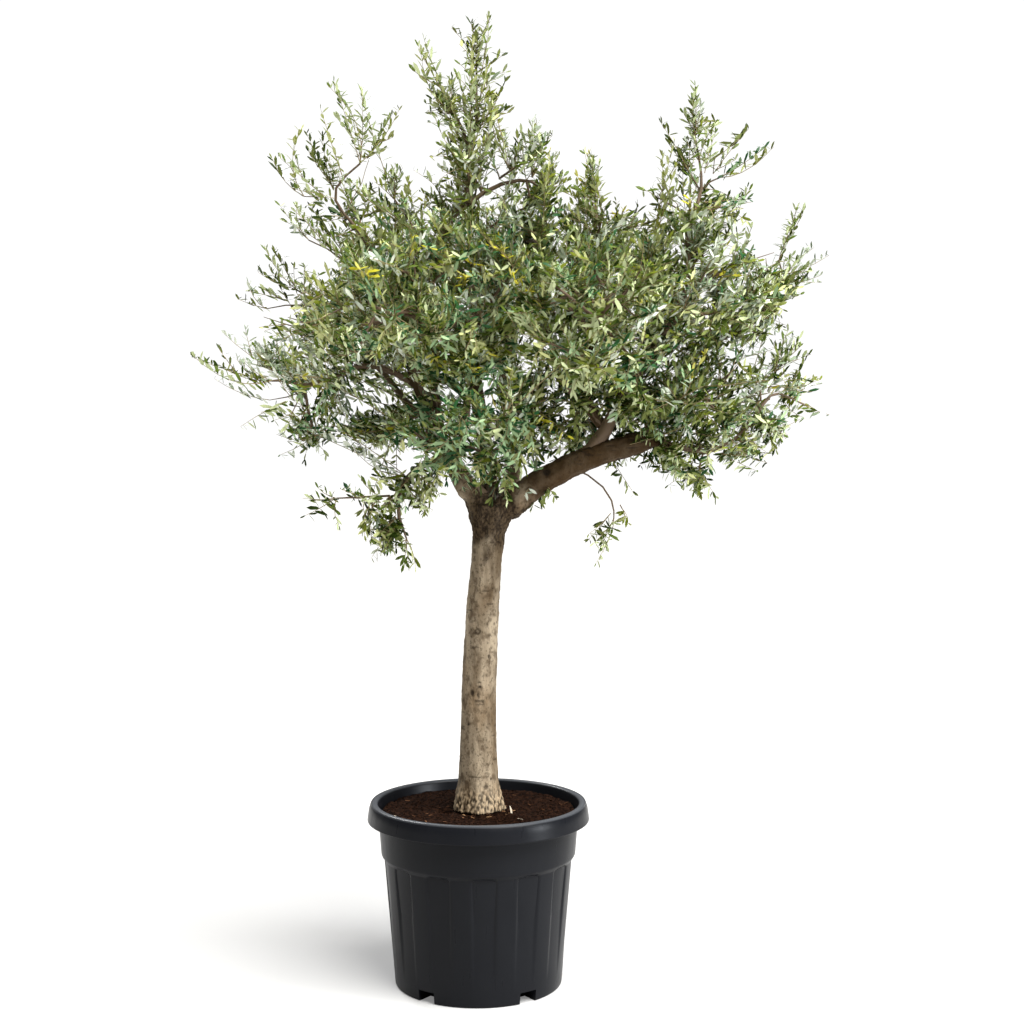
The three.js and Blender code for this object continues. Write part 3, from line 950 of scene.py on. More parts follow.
CAMERA_PLACE = (0.0755, -3.652, 1.251)
CAMERA_TILT = 3.0  # degrees below the horizon
CAMERA_LENS = 57.66
SENSOR = 36.0
SKY_LIGHT = 0.15
SKY_SEEN = 1.05  # seen by the camera alone, a little over white
KEY_LIGHT = 7.2
KEY_SOFTNESS = 48.0  # degrees across
KEY_FROM = (0.70, -0.62, 1.62)
FLOOR_COLOUR = (0.45, 0.45, 0.45)
FLOOR_GLOW = 0.20  # seen by the camera alone, so the floor looks white


def add_camera():
    camera = bpy.data.cameras.new("camera")
    camera.lens = CAMERA_LENS
    camera.sensor_width = SENSOR
    camera.clip_end = 100.0
    holder = bpy.data.objects.new("camera", camera)
    holder.location = CAMERA_PLACE
    holder.rotation_euler = (math.radians(90.0 - CAMERA_TILT), 0.0, 0.0)
    bpy.context.scene.collection.objects.link(holder)
    bpy.context.scene.camera = holder


def add_light(name, place, aim, size, power, colour=(1.0, 1.0, 1.0)):
    light = bpy.data.lights.new(name, "AREA")
    light.size = size
    light.energy = power
    light.color = colour
    holder = bpy.data.objects.new(name, light)
    holder.location = place
    facing = Vector(aim) - Vector(place)
    holder.rotation_euler = facing.to_track_quat("-Z", "Y").to_euler()
    bpy.context.scene.collection.objects.link(holder)


def add_studio(middle):
    world = bpy.data.worlds.new("studio")
    world.use_nodes = True
    sky = world.node_tree.nodes["Background"]
    sky.inputs["Color"].default_value = (1.0, 1.0, 1.0, 1.0)
    graph = Graph(world.node_tree)
    seen = graph.node("LightPath").outputs["Is Camera Ray"]
    graph.link(graph.ranged(seen, 0, 1, SKY_LIGHT, SKY_SEEN), sky.inputs["Strength"])
    bpy.context.scene.world = world
    bpy.context.scene.view_settings.view_transform = "Standard"
    sun = bpy.data.lights.new("key", "SUN")
    sun.energy = KEY_LIGHT
    sun.angle = math.radians(KEY_SOFTNESS)
    sun.color = (1.0, 0.985, 0.95)
    key = bpy.data.objects.new("key", sun)
    key.rotation_euler = Vector(KEY_FROM).to_track_quat("Z", "Y").to_euler()
    bpy.context.scene.collection.objects.link(key)
    add_light("rim", (-1.6, 2.6, 3.4), middle, 1.0, 110.0)
    add_light("side", (3.4, -1.5, 1.0), (0.0, 0.0, 0.3), 0.8, 70.0, (0.90, 0.95, 1.0))
    far = 30.0
    floor = mesh_object("floor", [(-far, -far, 0), (far, -far, 0), (far, far, 0), (-far, far, 0)],
                        [(0, 1, 2, 3)])
    paint = Paint("pale_floor", FLOOR_COLOUR, 0.9)
    paint.link(paint.ranged(paint.noise(0.4, 2.0), 0, 1, 0.88, 0.92), paint.inputs["Roughness"])
    paint.inputs["Emission Color"].default_value = (1.0, 1.0, 1.0, 1.0)
    seen = paint.node("LightPath").outputs["Is Camera Ray"]
    paint.link(paint.ranged(seen, 0, 1, 0.0, FLOOR_GLOW), paint.inputs["Emission Strength"])
    floor.data.materials.append(paint.material)
    floor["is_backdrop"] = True


# ------------------------------------------------------------------ twigs and branches


def wood_girths(wood, shoots):
    """The radius at each joint, from the number of shoots that it carries."""
    load = np.zeros(len(wood.places))
    for shoot in shoots:
        load[shoot.joint] += 1.0
    for joint in range(len(wood.places) - 1, 0, -1):
        parent = wood.parents[joint]
        if parent >= 0:
            load[parent] += max(load[joint], 0.6)
    girths = TWIG_GIRTH * np.maximum(load, 0.7) ** (1.0 / PIPE_POWER)
    return np.minimum(girths, 17 * MM)


def wood_runs(wood, girths):
    """The joints as runs, each from its parent's joint out along its stoutest child."""
    children = [[] for _ in wood.places]
    for joint, parent in enumerate(wood.parents):
        if parent >= 0:
            children[parent].append(joint)
    runs = []
    queue = [(0, child) for child in children[0]]
    while queue:
        parent, joint = queue.pop()
        run = [parent, joint]
        while children[joint]:
            ahead = max(children[joint], key=lambda child: girths[child])
            queue += [(joint, child) for child in children[joint] if child != ahead]
            joint = ahead
            run.append(joint)
        runs.append(run)
    return runs


def softened(line):
    """A polyline with its corners eased, its ends kept."""
    line = np.array(line)
    for _ in range(2):
        if len(line) > 2:
            line[1:-1] = 0.5 * line[1:-1] + 0.25 * (line[:-2] + line[2:])
    return line


def tubes(name, lines, girths, sides, bark, tree):
    """Many lines with their radii as one piece of capped tubes."""
    corners = np.concatenate(lines)
    edges, first = [], 0
    for line in lines:
        edges += [(first + i, first + i + 1) for i in range(len(line) - 1)]
        first += len(line)
    piece = mesh_object(name, corners, edges=edges)
    give(piece.data, "girth", "FLOAT", "POINT", np.concatenate(girths).astype(np.float32))
    modifier = piece.modifiers.new("tubes", "NODES")
    modifier.node_group = tree
    set_inputs(modifier, {"Sides": sides, "Bark": bark})
    settled(piece, name)
    smooth_faces(piece)
    return piece


def finish_piece(piece, slot, *nodes):
    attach(piece, ROOT)
    if nodes:
        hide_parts(*nodes)


# ------------------------------------------------------------------ leaf shape


def leaf_shape():
    """A narrow closed leaf, one long and one wide: ridged above, flat below, pointed."""
    stations = ((0.0, 0.0), (0.26, 0.40), (0.70, 0.47), (1.0, 0.0))
    droop = (0.0, 0.012, 0.004, -0.05)
    ridge = (0.0, 0.030, 0.026, -0.05)
    corners = [(0.0, 0.0, 0.0)]
    for (along, half), low, high in zip(stations[1:3], droop[1:3], ridge[1:3]):
        corners += [(-half, along, low), (0.0, along, high + low), (half, along, low)]
    corners.append((0.0, 1.0, droop[3]))
    left, ridge_line, right, tip = (1, 4), (2, 5), (3, 6), 7
    upper = [(0, ridge_line[0], left[0]), (0, right[0], ridge_line[0]),
             (left[0], ridge_line[0], ridge_line[1], left[1]),
             (ridge_line[0], right[0], right[1], ridge_line[1]),
             (left[1], ridge_line[1], tip), (ridge_line[1], right[1], tip)]
    under = [(0, left[0], right[0]), (left[0], left[1], right[1], right[0]),
             (left[1], tip, right[1])]
    leaf = mesh_object("leaf_shape", corners, upper + under)
    back = [0] * len(upper) + [1] * len(under)
    give(leaf.data, "back", "INT", "FACE", np.array(back, np.int32))
    outline = {(0, 1), (1, 4), (4, 7), (0, 3), (3, 6), (6, 7)}
    sharp = [tuple(sorted(edge.vertices)) in outline for edge in leaf.data.edges]
    give(leaf.data, "sharp_edge", "BOOLEAN", "EDGE", np.array(sharp, bool))
    smooth_faces(leaf)
    return leaf


def scatter(name, places, turns, sizes, kinds, tree, inputs):
    """One piece made of a shape at each place."""
    piece = mesh_object(name, places)
    give(piece.data, "turn", "FLOAT_VECTOR", "POINT", np.array(turns, np.float32))
    give(piece.data, "size", "FLOAT_VECTOR", "POINT", np.array(sizes, np.float32))
    give(piece.data, "kind", "INT", "POINT", np.array(kinds, np.int32))
    modifier = piece.modifiers.new("scatter", "NODES")
    modifier.node_group = tree
    set_inputs(modifier, {"Size": 1.0, **inputs})
    return settled(piece, name)


# ------------------------------------------------------------------ bark


# Marks on the trunk: place, how far it spreads, how deep it goes (minus stands out),
# how dark it is, and its height as a share of its spread. The dark of the sunken marks is
# painted shade in their hollows. The places, the ring scar's and the plate's too, are fitted
# values, not worked out from the frame.
SCARS = (
    ((-0.002, -0.036, 0.796), 0.013, -1.6 * MM, 0.0, 1.2),
    ((-0.012, -0.036, 0.688), 0.020, -3.6 * MM, 0.05, 1.3),
    ((0.004, -0.037, 0.673), 0.0065, 4.0 * MM, 1.0, 1.0),
    ((-0.013, -0.036, 0.659), 0.0080, 3.5 * MM, 0.95, 1.7),
    ((-0.001, -0.036, 0.655), 0.0050, 2.5 * MM, 0.90, 1.8),
    ((-0.0154, -0.036, 0.743), 0.0048, 3.5 * MM, 1.0, 1.0),
    ((0.0245, -0.034, 0.740), 0.0045, 3.0 * MM, 1.0, 2.2),
    ((0.0335, -0.034, 0.892), 0.0060, 2.5 * MM, 0.90, 1.0),
    ((-0.0040, -0.036, 0.914), 0.0055, 3.0 * MM, 1.0, 1.5),
    ((-0.0223, -0.034, 0.588), 0.0050, 3.0 * MM, 1.0, 0.9),
    ((0.0176, -0.040, 0.449), 0.0110, 2.5 * MM, 0.75, 0.9),
    ((0.0176, -0.040, 0.449), 0.0200, -2.2 * MM, 0.0, 0.9),
    ((0.0313, -0.036, 0.994), 0.0110, 2.0 * MM, 0.85, 0.22),
    ((0.0268, -0.036, 0.8564), 0.0150, 1.8 * MM, 0.80, 0.18),
    ((-0.0380, -0.006, 0.8480), 0.0100, 3.0 * MM, 0.7, 0.5),
    ((0.1508, -0.040, 1.1500), 0.0160, 7.0 * MM, 1.0, 1.0),
    ((0.1400, -0.030, 1.1400), 0.0300, -4.0 * MM, 0.2, 1.0),
)


RING_SCAR = (-0.002, -0.040, 0.796)
RING_RADIUS = 7.0 * MM
PLATE_TOP = 0.841  # a plate of bark on the left ends here in a step
PLATE_DEPTH = 7.0 * MM


def noise_at(points, scale, seed=0.0):
    """Smooth noise about zero at each point, with one scale for each axis."""
    places = points * np.asarray(scale) + seed
    return np.array([noise.noise(Vector(place)) for place in places])


def cell_depth(points, scale, seed=0.0):
    """How near each point is to the middle of its cell: 1 in the middle, 0 far off."""
    places = points * np.asarray(scale) + seed
    return np.array([max(0.0, 1.0 - noise.voronoi(Vector(place))[0][0]) for place in places])


def scar_relief(points):
    """The depth and the darkness of the marks at each point."""
    depth = np.zeros(len(points))
    dark = np.zeros(len(points))
    for place, spread, deep, shade, tall in SCARS:
        offset = (points - np.array(place)) / (spread * np.array([1.0, 1.6, tall]))
        share = np.exp(-2.2 * np.sum(offset**2, axis=1))
        depth += deep * share
        dark = np.maximum(dark, shade * ramp(0.25, 0.75, share))
    return depth, dark


def bark_relief(points, fork):
    """How far the bark stands out at each point, the painted shade in its hollows, and the old rough
    bark about the fork, darkened in part as painted shade.
    """
    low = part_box("potting_mix")[1].z
    foot = 1.0 - ramp(0.028, 0.068, points[:, 2] - low)
    gap = np.linalg.norm((points - fork) * np.array([1.0, 1.0, 0.85]), axis=1)
    wander = noise_at(points, (26, 26, 26), 5.0)
    # The fork zone: rough old bark, also painted darker as shade under the crown.
    aged_and_shaded = 1.0 - ramp(0.72, 1.12, gap / FORK_REACH + 0.45 * wander)
    # Above and right of the fork: the boughs, later painted darker, partly as painted shade under the
    # crown.
    bough = ramp(0.02, 0.10, points[:, 2] - fork[2]) + ramp(0.07, 0.12, points[:, 0] - fork[0])
    bough = np.clip(bough, 0.0, 1.0)
    lumps = noise_at(points, (17, 17, 11), 1.0)
    ridges = noise_at(points, (62, 62, 13), 2.0)
    plates = noise_at(points, (120, 120, 52), 3.0)
    grain = noise_at(points, (290, 290, 120), 4.0)
    height = 2.6 * MM * lumps + 2.2 * MM * ridges + 1.5 * MM * plates + 0.9 * MM * grain
    height *= 1.0 - 0.45 * bough
    pits = ramp(0.80, 0.93, cell_depth(points, (62, 62, 46), 6.0))
    pits *= ramp(0.10, 0.35, noise_at(points, (22, 22, 16), 7.0)) * (1.0 - 0.5 * bough)
    cracks = ramp(0.28, 0.42, noise_at(points, (34, 34, 190), 8.0))
    cracks *= ramp(0.05, 0.25, noise_at(points, (30, 30, 24), 9.0)) * (1.0 - foot)
    fissures = np.abs(noise_at(points, (120, 120, 55), 10.0))
    fissures = 1.0 - ramp(0.0, 0.22, fissures)
    broken = 0.7 * noise_at(points, (150, 150, 75), 11.0) + noise_at(points, (270, 270, 130), 12.0)
    depth, dark = scar_relief(points)
    height -= depth + 1.6 * MM * pits + 0.9 * MM * cracks
    plate = ramp(0.0, 0.012, -0.028 - points[:, 0]) * ramp(0.70, 0.80, points[:, 2])
    height += PLATE_DEPTH * plate * (1.0 - ramp(PLATE_TOP, PLATE_TOP + 3 * MM, points[:, 2]))
    ring = np.linalg.norm(points - np.array(RING_SCAR), axis=1) - RING_RADIUS
    ring = np.exp(-((ring / (1.8 * MM)) ** 2))
    height -= 1.8 * MM * ring
    dark = np.maximum(dark, 0.9 * ring)
    height += aged_and_shaded * (3.2 * MM * noise_at(points, (60, 60, 30), 13.0) - 2.6 * MM * fissures)
    height += foot * (5.0 * MM * broken + 1.0 * MM)
    # The dark below is painted shade in the sunken places of the relief.
    hollow_shade = np.maximum.reduce([dark, 0.85 * pits, 0.65 * cracks, 0.8 * aged_and_shaded * fissures,
                                0.85 * foot * ramp(0.05, 0.40, -broken)])
    return height, hollow_shade, aged_and_shaded, foot * ramp(-0.05, 0.3, broken), bough


def build_bark(wood, girths, bark, tree):
    """The trunk, the boughs and the thick branches as one skin with its relief."""
    thick, widths = [], []
    for run in wood_runs(wood, girths):
        count = int(np.sum(girths[run] > THICK_BRANCH)) + 1
        if count > 2 and wood.kinds[run[1]] != "bough":
            line = softened([wood.places[joint] for joint in run])[:count]
            thick.append(line)
            width = girths[run][:count].copy()
            width[0] = width[1]
            widths.append(width)
    for name in BOUGHS:
        line, radii = limb_line(name, wood.places[0])
        fork = wood.places[0]
        foot = fork - BOUGH_ROOT * UP
        collar = fork + 0.4 * (line[1] - fork) - COLLAR_DROP * UP
        thick.append(np.array([foot, collar, line[1], line[2]]))
        widths.append(max(radii[1:4]) * np.array([0.95, 1.2, 1.0, 0.9]))
    tubes_piece = tubes("thick_branches", thick, widths, 10, bark, tree)
    builder = bmesh.new()
    builder.from_mesh(tubes_piece.data)
    for name in ["trunk", *BOUGHS]:
        corners, triangles = node_shape(name)
        made = [builder.verts.new(corner) for corner in corners]
        for triangle in triangles:
            builder.faces.new([made[k] for k in triangle])
    piece = mesh_object("bark", [])
    builder.to_mesh(piece.data)
    builder.free()
    bpy.data.objects.remove(tubes_piece)
    skin = piece.modifiers.new("skin", "REMESH")
    skin.mode = "VOXEL"
    skin.voxel_size = BARK_VOXEL * 1.0
    ease = piece.modifiers.new("ease", "SMOOTH")
    ease.factor = 0.5
    ease.iterations = 14
    settled(piece, "bark")
    mesh = piece.data
    points = values_of(mesh.vertices, "co")
    normals = values_of(mesh.vertex_normals, "vector")
    fork = wood.places[0] - np.array([0.0, 0.0, 0.012])
    height, hollow_shade, aged_and_shaded, torn, bough = bark_relief(points, fork)
    thin = np.clip(np.abs(points[:, 2] - fork[2]) / 0.35 + 0.5, 1.0, 2.0)
    mesh.vertices.foreach_set("co", (points + normals * (height / thin)[:, None]).ravel())
    for name, values in (("hollow_shade", hollow_shade), ("fork_aged_and_shaded", aged_and_shaded), ("torn", torn), ("bough", bough)):
        give(mesh, name, "FLOAT", "POINT", values)
    mesh.materials.clear()
    mesh.materials.append(bark_material())
    mesh.update()
    smooth_faces(piece)
    finish_piece(piece, "bark", "trunk", *BOUGHS)


# ------------------------------------------------------------------ pot and potting mix


# The pot's outline from the middle of its foot up over the rim and down inside it:
# radius, height, and how much the corner there is eased
POT_OUTLINE = (
    (0.0, 0.0, 0.0), (0.1876, 0.0, 0.004), (0.2115, 0.2835, 0.002), (0.2180, 0.2935, 0.003),
    (0.2240, 0.3690, 0.002), (0.2492, 0.3695, 0.0022), (0.2488, 0.3730, 0.0012),
    (0.2452, 0.4000, 0.010), (0.2400, 0.4100, 0.006), (0.2262, 0.4090, 0.005),
    (0.2180, 0.3700, 0.004), (0.1850, 0.0340, 0.004), (0.0, 0.0340, 0.0),
)


def eased_line(outline):
    """An outline with its corners rounded off."""
    line = [np.array(outline[0][:2])]
    for before, here, after in zip(outline, outline[1:], outline[2:]):
        corner = np.array(here[:2])
        start = corner + unit(np.array(before[:2]) - corner) * here[2]
        end = corner + unit(np.array(after[:2]) - corner) * here[2]
        line += list(bezier(start, corner, end, np.linspace(0, 1, 5)))
    return line + [np.array(outline[-1][:2])]


def spaced_line(line, pitch):
    """The same line with added points, no two further apart than the pitch."""
    out = [line[0]]
    for start, end in zip(line, line[1:]):
        count = max(1, int(math.ceil(np.linalg.norm(end - start) / pitch)))
        out += [start + (end - start) * k / count for k in range(1, count + 1)]
    return np.array(out)


def lathe(name, line, turns, radius_at):
    """A closed turned body; radius_at(radii, heights, turns, outside) may shape the wall."""
    rings = line[1:-1]
    turn, ring = np.meshgrid(turns, np.arange(len(rings)))
    radii = radius_at(rings[ring, 0], rings[ring, 1], turn, ring < np.argmax(rings[:, 1]))
    x, y = radii * np.sin(turn), -radii * np.cos(turn)
    corners = np.stack([x, y, rings[ring, 1]], axis=-1).reshape(-1, 3)
    count = len(turns)
    faces = []
    for row in range(len(rings) - 1):
        for column in range(count):
            ahead = (column + 1) % count
            faces.append((row * count + column, row * count + ahead,
                          (row + 1) * count + ahead, (row + 1) * count + column))
    foot, top = len(corners), len(corners) + 1
    corners = np.vstack([corners, [0, 0, line[0][1]], [0, 0, line[-1][1]]])
    last = (len(rings) - 1) * count
    for column in range(count):
        ahead = (column + 1) % count
        faces.append((foot, ahead, column))
        faces.append((top, last + column, last + ahead))
    return mesh_object(name, corners, faces)


def fluted(radii, heights, turns, outside):
    """The outer wall with its shallow upright recesses, deepest under the band."""
    pulse = np.cos(FLUTE_COUNT * (turns - FLUTE_TURN))
    recess = ramp(-0.28, 0.28, pulse)
    arch = 4.0 * MM * (1.0 - pulse)
    deep = np.clip((heights - FLUTE_FOOT) / (0.27 - FLUTE_FOOT), 0.0, 1.0) ** 0.8
    deep *= 1.0 - ramp(FLUTE_TOP - 7 * MM, FLUTE_TOP, heights + arch)
    return np.where(outside, radii - FLUTE_DEPTH * recess * deep, radii)


def build_pot():
    columns = np.linspace(0.0, 1.0, 26, endpoint=False)
    crowded = columns + 0.75 * np.sin(4 * math.pi * columns) / (4 * math.pi)
    pitch = 2 * math.pi / FLUTE_COUNT
    turns = np.concatenate([FLUTE_TURN + pitch * (k + crowded) for k in range(FLUTE_COUNT)])
    line = spaced_line(eased_line(POT_OUTLINE), 7.5 * MM)
    pot = lathe("pot", line, turns, fluted)
    cutters = bmesh.new()
    for k in range(NOTCH_COUNT):
        turn = NOTCH_TURN + 2 * math.pi * k / NOTCH_COUNT
        made = bmesh.ops.create_cube(cutters, size=1.0)["verts"]
        place = Matrix.Rotation(turn, 4, "Z") @ Matrix.Translation((0, -0.182, 0))
        shape = Matrix.Diagonal((NOTCH_SIZE[1], NOTCH_SIZE[0], NOTCH_SIZE[2], 1.0))
        bmesh.ops.transform(cutters, matrix=place @ shape, verts=made)
    notches = mesh_object("notches", [])
    cutters.to_mesh(notches.data)
    cutters.free()
    cut = pot.modifiers.new("notches", "BOOLEAN")
    cut.operation = "DIFFERENCE"
    cut.object = notches
    settled(pot, "pot")
    bpy.data.objects.remove(notches)
    smooth_faces(pot)
    pot.data.set_sharp_from_angle(angle=math.radians(38))
    pot.data.materials.clear()
    pot.data.materials.append(pot_material())
    finish_piece(pot, "pot_plastic", "pot")


def soil_height(places):
    """The level of the potting mix at each place: crumbly, and dished beside the trunk."""
    flat = places * np.array([1.0, 1.0, 0.0])
    rough = 3.2 * MM * noise_at(flat, (24, 24, 1), 20.0) + 2.6 * MM * noise_at(flat, (75, 75, 1), 21.0)
    rough += 2.4 * MM * np.abs(noise_at(flat, (190, 190, 1), 22.0))
    gap = np.linalg.norm(flat[:, :2] - np.array([-0.068, -0.01]), axis=1)
    dish = 16 * MM * np.exp(-((gap / 0.016) ** 2))
    return SOIL_LEVEL + rough - dish


def build_soil(rng):
    line = np.array([(0.0, 0.036), (0.180, 0.036), (SOIL_RADIUS - 1 * MM, SOIL_LEVEL - 14 * MM)]
                    + [(SOIL_RADIUS * (1 - k / 60), SOIL_LEVEL) for k in range(60)]
                    + [(0.0, SOIL_LEVEL)])
    turns = np.linspace(0.0, 2 * math.pi, 240, endpoint=False)
    soil = lathe("potting_mix", line, turns, lambda radii, heights, turns, outside: radii)
    corners = values_of(soil.data.vertices, "co")
    top = corners[:, 2] > SOIL_LEVEL - 1 * MM
    corners[top, 2] = soil_height(corners[top])
    soil.data.vertices.foreach_set("co", corners.ravel())
    soil.data.materials.append(soil_material())
    soil.data.update()
    smooth_faces(soil)
    finish_piece(soil, "potting_mix", "potting_mix")
    build_crumbs(rng)


CRUMB_COUNT = 2600
BROWN_CRUMBS = 0.35
CHIP_COUNT = 60
PALE_CHIPS = 14
NEAR_CHIPS = 30  # these chips lie about the trunk
NEAR_CHIP_RADII = (0.055, 0.085)
SLIVER_COUNT = 5
SLIVER_PLACE = (0.0735, -0.032, SOIL_LEVEL + 7 * MM)  # one long sliver, at a fitted place
SLIVER_TURN = (1.1, 0.0, 0.5)
SLIVER_SIZE = (16 * MM, 24 * MM, 14 * MM)
TRUNK_KEEP_OUT = 0.05


def loose_turns(count, tilt, rng):
    """Turns about the upright at random, each tilted a little."""
    return np.stack([rng.normal(0, tilt, count), rng.normal(0, tilt, count),
                     rng.uniform(-3, 3, count)], axis=1)


def scattered_spots(count, rng):
    """Random places on the potting mix, outside the trunk."""
    turn = rng.uniform(0, 2 * math.pi, count)
    far = np.sqrt(rng.uniform(TRUNK_KEEP_OUT**2, (SOIL_RADIUS - 4 * MM) ** 2, count))
    spots = np.stack([far * np.sin(turn), far * np.cos(turn), np.zeros(count)], axis=1)
    spots[:, 2] = soil_height(spots)
    return spots


def crumb_shape(name, rng, stretch):
    builder = bmesh.new()
    bmesh.ops.create_icosphere(builder, subdivisions=1, radius=0.5)
    for corner in builder.verts:
        corner.co = Vector([c * s for c, s in zip(corner.co * rng.uniform(0.75, 1.2), stretch)])
    shape = mesh_object(name, [])
    builder.to_mesh(shape.data)
    builder.free()
    give(shape.data, "back", "INT", "FACE", np.zeros(len(shape.data.polygons), np.int32))
    return shape


def build_crumbs(rng):
    tree = scatter_tree("crumb_scatter", [("dark", 0, 0), ("brown", 1, 0), ("tan", 2, 0),
                                          ("white", 3, 0), ("pale", 4, 0)])
    paints = {
        "dark": crumb_paint("crumb_dark", (0.0075, 0.0030, 0.0014)).material,
        "brown": crumb_paint("crumb_brown", (0.036, 0.0160, 0.0090)).material,
        "tan": crumb_paint("wood_chip", (0.13, 0.062, 0.032)).material,
        "white": crumb_paint("wood_sliver", (0.60, 0.53, 0.42)).material,
        "pale": crumb_paint("pale_chip", (0.34, 0.20, 0.105)).material,
    }
    crumb = crumb_shape("crumb_shape", rng, (1.0, 0.8, 0.6))
    chip = crumb_shape("chip_shape", rng, (0.34, 1.0, 0.12))
    spots = scattered_spots(CRUMB_COUNT, rng)
    sizes = rng.uniform(1.5, 5.5, (CRUMB_COUNT, 1)) * MM * np.ones(3)
    kinds = (rng.random(CRUMB_COUNT) < BROWN_CRUMBS).astype(int)
    crumbs = scatter("soil_crumbs", spots, rng.uniform(-3, 3, (CRUMB_COUNT, 3)), sizes, kinds,
                     tree, {"Shape": crumb, **paints})
    finish_piece(crumbs, "potting_mix")
    count = CHIP_COUNT + SLIVER_COUNT
    spots = scattered_spots(count, rng)
    near = spots[:NEAR_CHIPS, :2]
    near *= rng.uniform(*NEAR_CHIP_RADII, (NEAR_CHIPS, 1)) / np.linalg.norm(near, axis=1, keepdims=True)
    spots[:, 2] = soil_height(spots) + 1.5 * MM
    turns = loose_turns(count, 0.25, rng)
    kinds = np.array([4] * PALE_CHIPS + [2] * (CHIP_COUNT - PALE_CHIPS) + [3] * SLIVER_COUNT)
    spots[-1] = SLIVER_PLACE
    turns[-1] = SLIVER_TURN
    sizes = rng.uniform(0.6, 1.4, (count, 3)) * np.array([11, 12, 9]) * MM
    sizes[-1] = SLIVER_SIZE
    chips = scatter("wood_chips", spots, turns, sizes, kinds, tree, {"Shape": chip, **paints})
    finish_piece(chips, "potting_mix")
    bpy.data.objects.remove(crumb)
    bpy.data.objects.remove(chip)


# ------------------------------------------------------------------ the whole crown


GROUPS = {
    "left": ("left_crest", "left_shoulder", "left_wing", "left_low", "left_sprig", "centre_left"),
    "middle": ("spire", "heart", "crest", "front_cluster", "low_centre"),
    "right": ("right_crest", "right_wing", "right_skirt", "right_hem", "right_shoulder",
              "right_sprig"),
    "inner_right": ("right_core", "right_low", "centre_right"),
    "front": ("front_left", "front_right"),
    "back": ("back_left", "back_centre", "back_right"),
}


# Olives, the first two at fitted places
KNOWN_OLIVES = ((0.460, -0.10, 1.322), (0.452, -0.10, 1.228))
OLIVE_MASSES = ("low_centre", "right_low", "heart", "right_hem", "left_low")
OLIVE_FRONT = -0.05  # olives hang on shoots whose tips lie in front of this
OLIVE_COUNT = 12
OLIVE_LENGTH = 0.0135


def build_crown(rng):
    masses = [Mass(name) for name in FOLIAGE]
    wood = grow_skeleton(masses, rng)
    middle = crown_middle(masses)
    finder = joint_finder(wood)
    shoots = {mass.name: fill_mass(mass, wood, finder, middle, rng) for mass in masses}
    for name, shoot in thicket_shoots(masses, wood, finder, middle, rng):
        shoots[name].append(shoot)
    every = [shoot for found in shoots.values() for shoot in found]
    girths = wood_girths(wood, every)
    tree = tube_tree()
    woody = twig_material("branch_bark", (0.135, 0.088, 0.050))
    green = twig_material("shoot_bark", (0.300, 0.225, 0.110))
    build_bark(wood, girths, woody, tree)
    add_branches(wood, girths, woody, tree)
    add_twigs(every, girths, green, tree)
    add_leaves(shoots, rng)
    add_olives(shoots, rng)


def add_branches(wood, girths, bark, tree):
    lines, widths = [], []
    for run in wood_runs(wood, girths):
        line = softened([wood.places[joint] for joint in run])
        girth = girths[run].copy()
        girth[0] = girth[1]
        lines.append(line)
        widths.append(girth)
    piece = tubes("branches", lines, widths, 6, bark, tree)
    finish_piece(piece, "bark")


def add_twigs(shoots, girths, bark, tree):
    lines, widths = [], []
    for shoot in shoots:
        foot = min(girths[shoot.joint], 1.4 * TWIG_GIRTH)
        lines.append(shoot.line)
        widths.append(np.linspace(foot, 0.45 * TWIG_GIRTH, len(shoot.line)))
    piece = tubes("shoots", lines, widths, 3, bark, tree)
    finish_piece(piece, "bark")


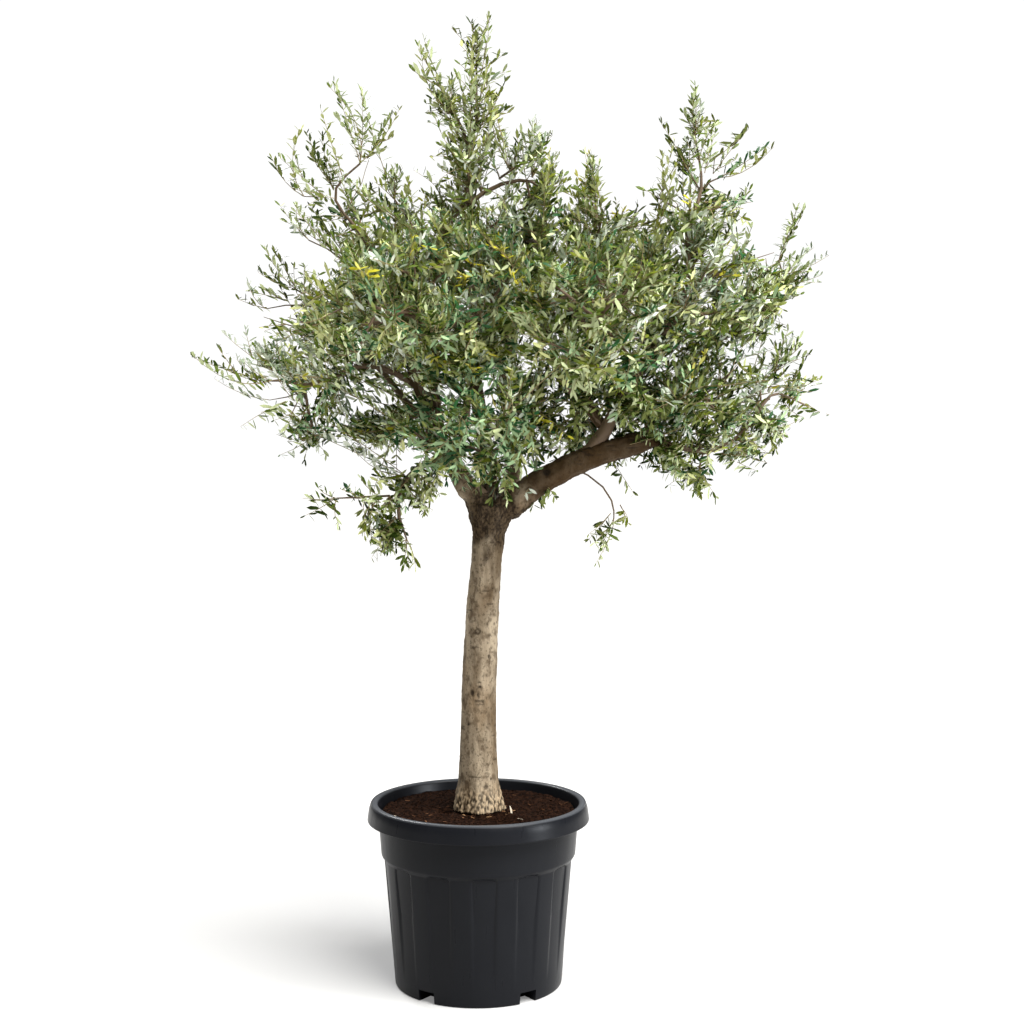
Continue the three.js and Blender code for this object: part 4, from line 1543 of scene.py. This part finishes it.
def olive_shape():
    """A closed olive one long, hanging from a short stalk at its top."""
    builder = bmesh.new()
    bmesh.ops.create_uvsphere(builder, u_segments=8, v_segments=6, radius=0.5)
    for corner in builder.verts:
        corner.co = Vector((0.74 * corner.co.x, 0.74 * corner.co.y, corner.co.z - 0.75))
    bmesh.ops.create_cone(builder, cap_ends=True, segments=4, radius1=0.05, radius2=0.04,
                          depth=0.5, matrix=Matrix.Translation((0, 0, -0.10)))
    shape = mesh_object("olive_shape", [])
    builder.to_mesh(shape.data)
    builder.free()
    give(shape.data, "back", "INT", "FACE", np.zeros(len(shape.data.polygons), np.int32))
    smooth_faces(shape)
    return shape


def add_olives(shoots, rng):
    """A few unripe olives: two at known places, the rest along front shoots."""
    places = list(KNOWN_OLIVES)
    bearing = [shoot for name in OLIVE_MASSES for shoot in shoots[f"foliage_{name}"]]
    front = [shoot for shoot in bearing if shoot.line[-1][1] < OLIVE_FRONT]
    for pick in rng.choice(len(front), OLIVE_COUNT, replace=False):
        places.append(front[pick].line[-2])
    count = len(places)
    turns = loose_turns(count, 0.2, rng)
    sizes = rng.uniform(0.85, 1.1, (count, 1)) * OLIVE_LENGTH * np.ones(3)
    fruit = olive_shape()
    tree = scatter_tree("olive_scatter", [("Skin", 0, 0)])
    skin = Paint("olive_skin", (0.170, 0.230, 0.050), 0.35).material
    piece = scatter("olives", places, turns, sizes, np.zeros(count, np.int32), tree,
                    {"Shape": fruit, "Skin": skin})
    finish_piece(piece, "foliage")
    bpy.data.objects.remove(fruit)


def add_leaves(shoots, rng):
    leaf = leaf_shape()
    colours = [name for name, _, _, _ in LEAF_COLOURS]
    finishes = [(f"{name} {side}", kind, back) for kind, name in enumerate(colours)
                for back, side in enumerate(("upper", "under"))]
    tree = scatter_tree("leaf_scatter", finishes)
    inputs = {"Shape": leaf, **leaf_materials()}
    for group, members in GROUPS.items():
        names = [f"foliage_{member}" for member in members]
        leaves = Leaves()
        for name in names:
            for shoot in shoots[name]:
                dress(shoot, leaves, rng)
        piece = scatter(f"leaves_{group}", leaves.places, leaves.turns, leaves.sizes,
                        leaves.kinds, tree, inputs)
        finish_piece(piece, "foliage", *names)
    bpy.data.objects.remove(leaf)


# ------------------------------------------------------------------ build


rng = np.random.default_rng(SEED)
add_camera()
low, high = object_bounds()
add_studio((low + high) / 2)
build_crown(rng)
build_pot()
build_soil(rng)

low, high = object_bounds()
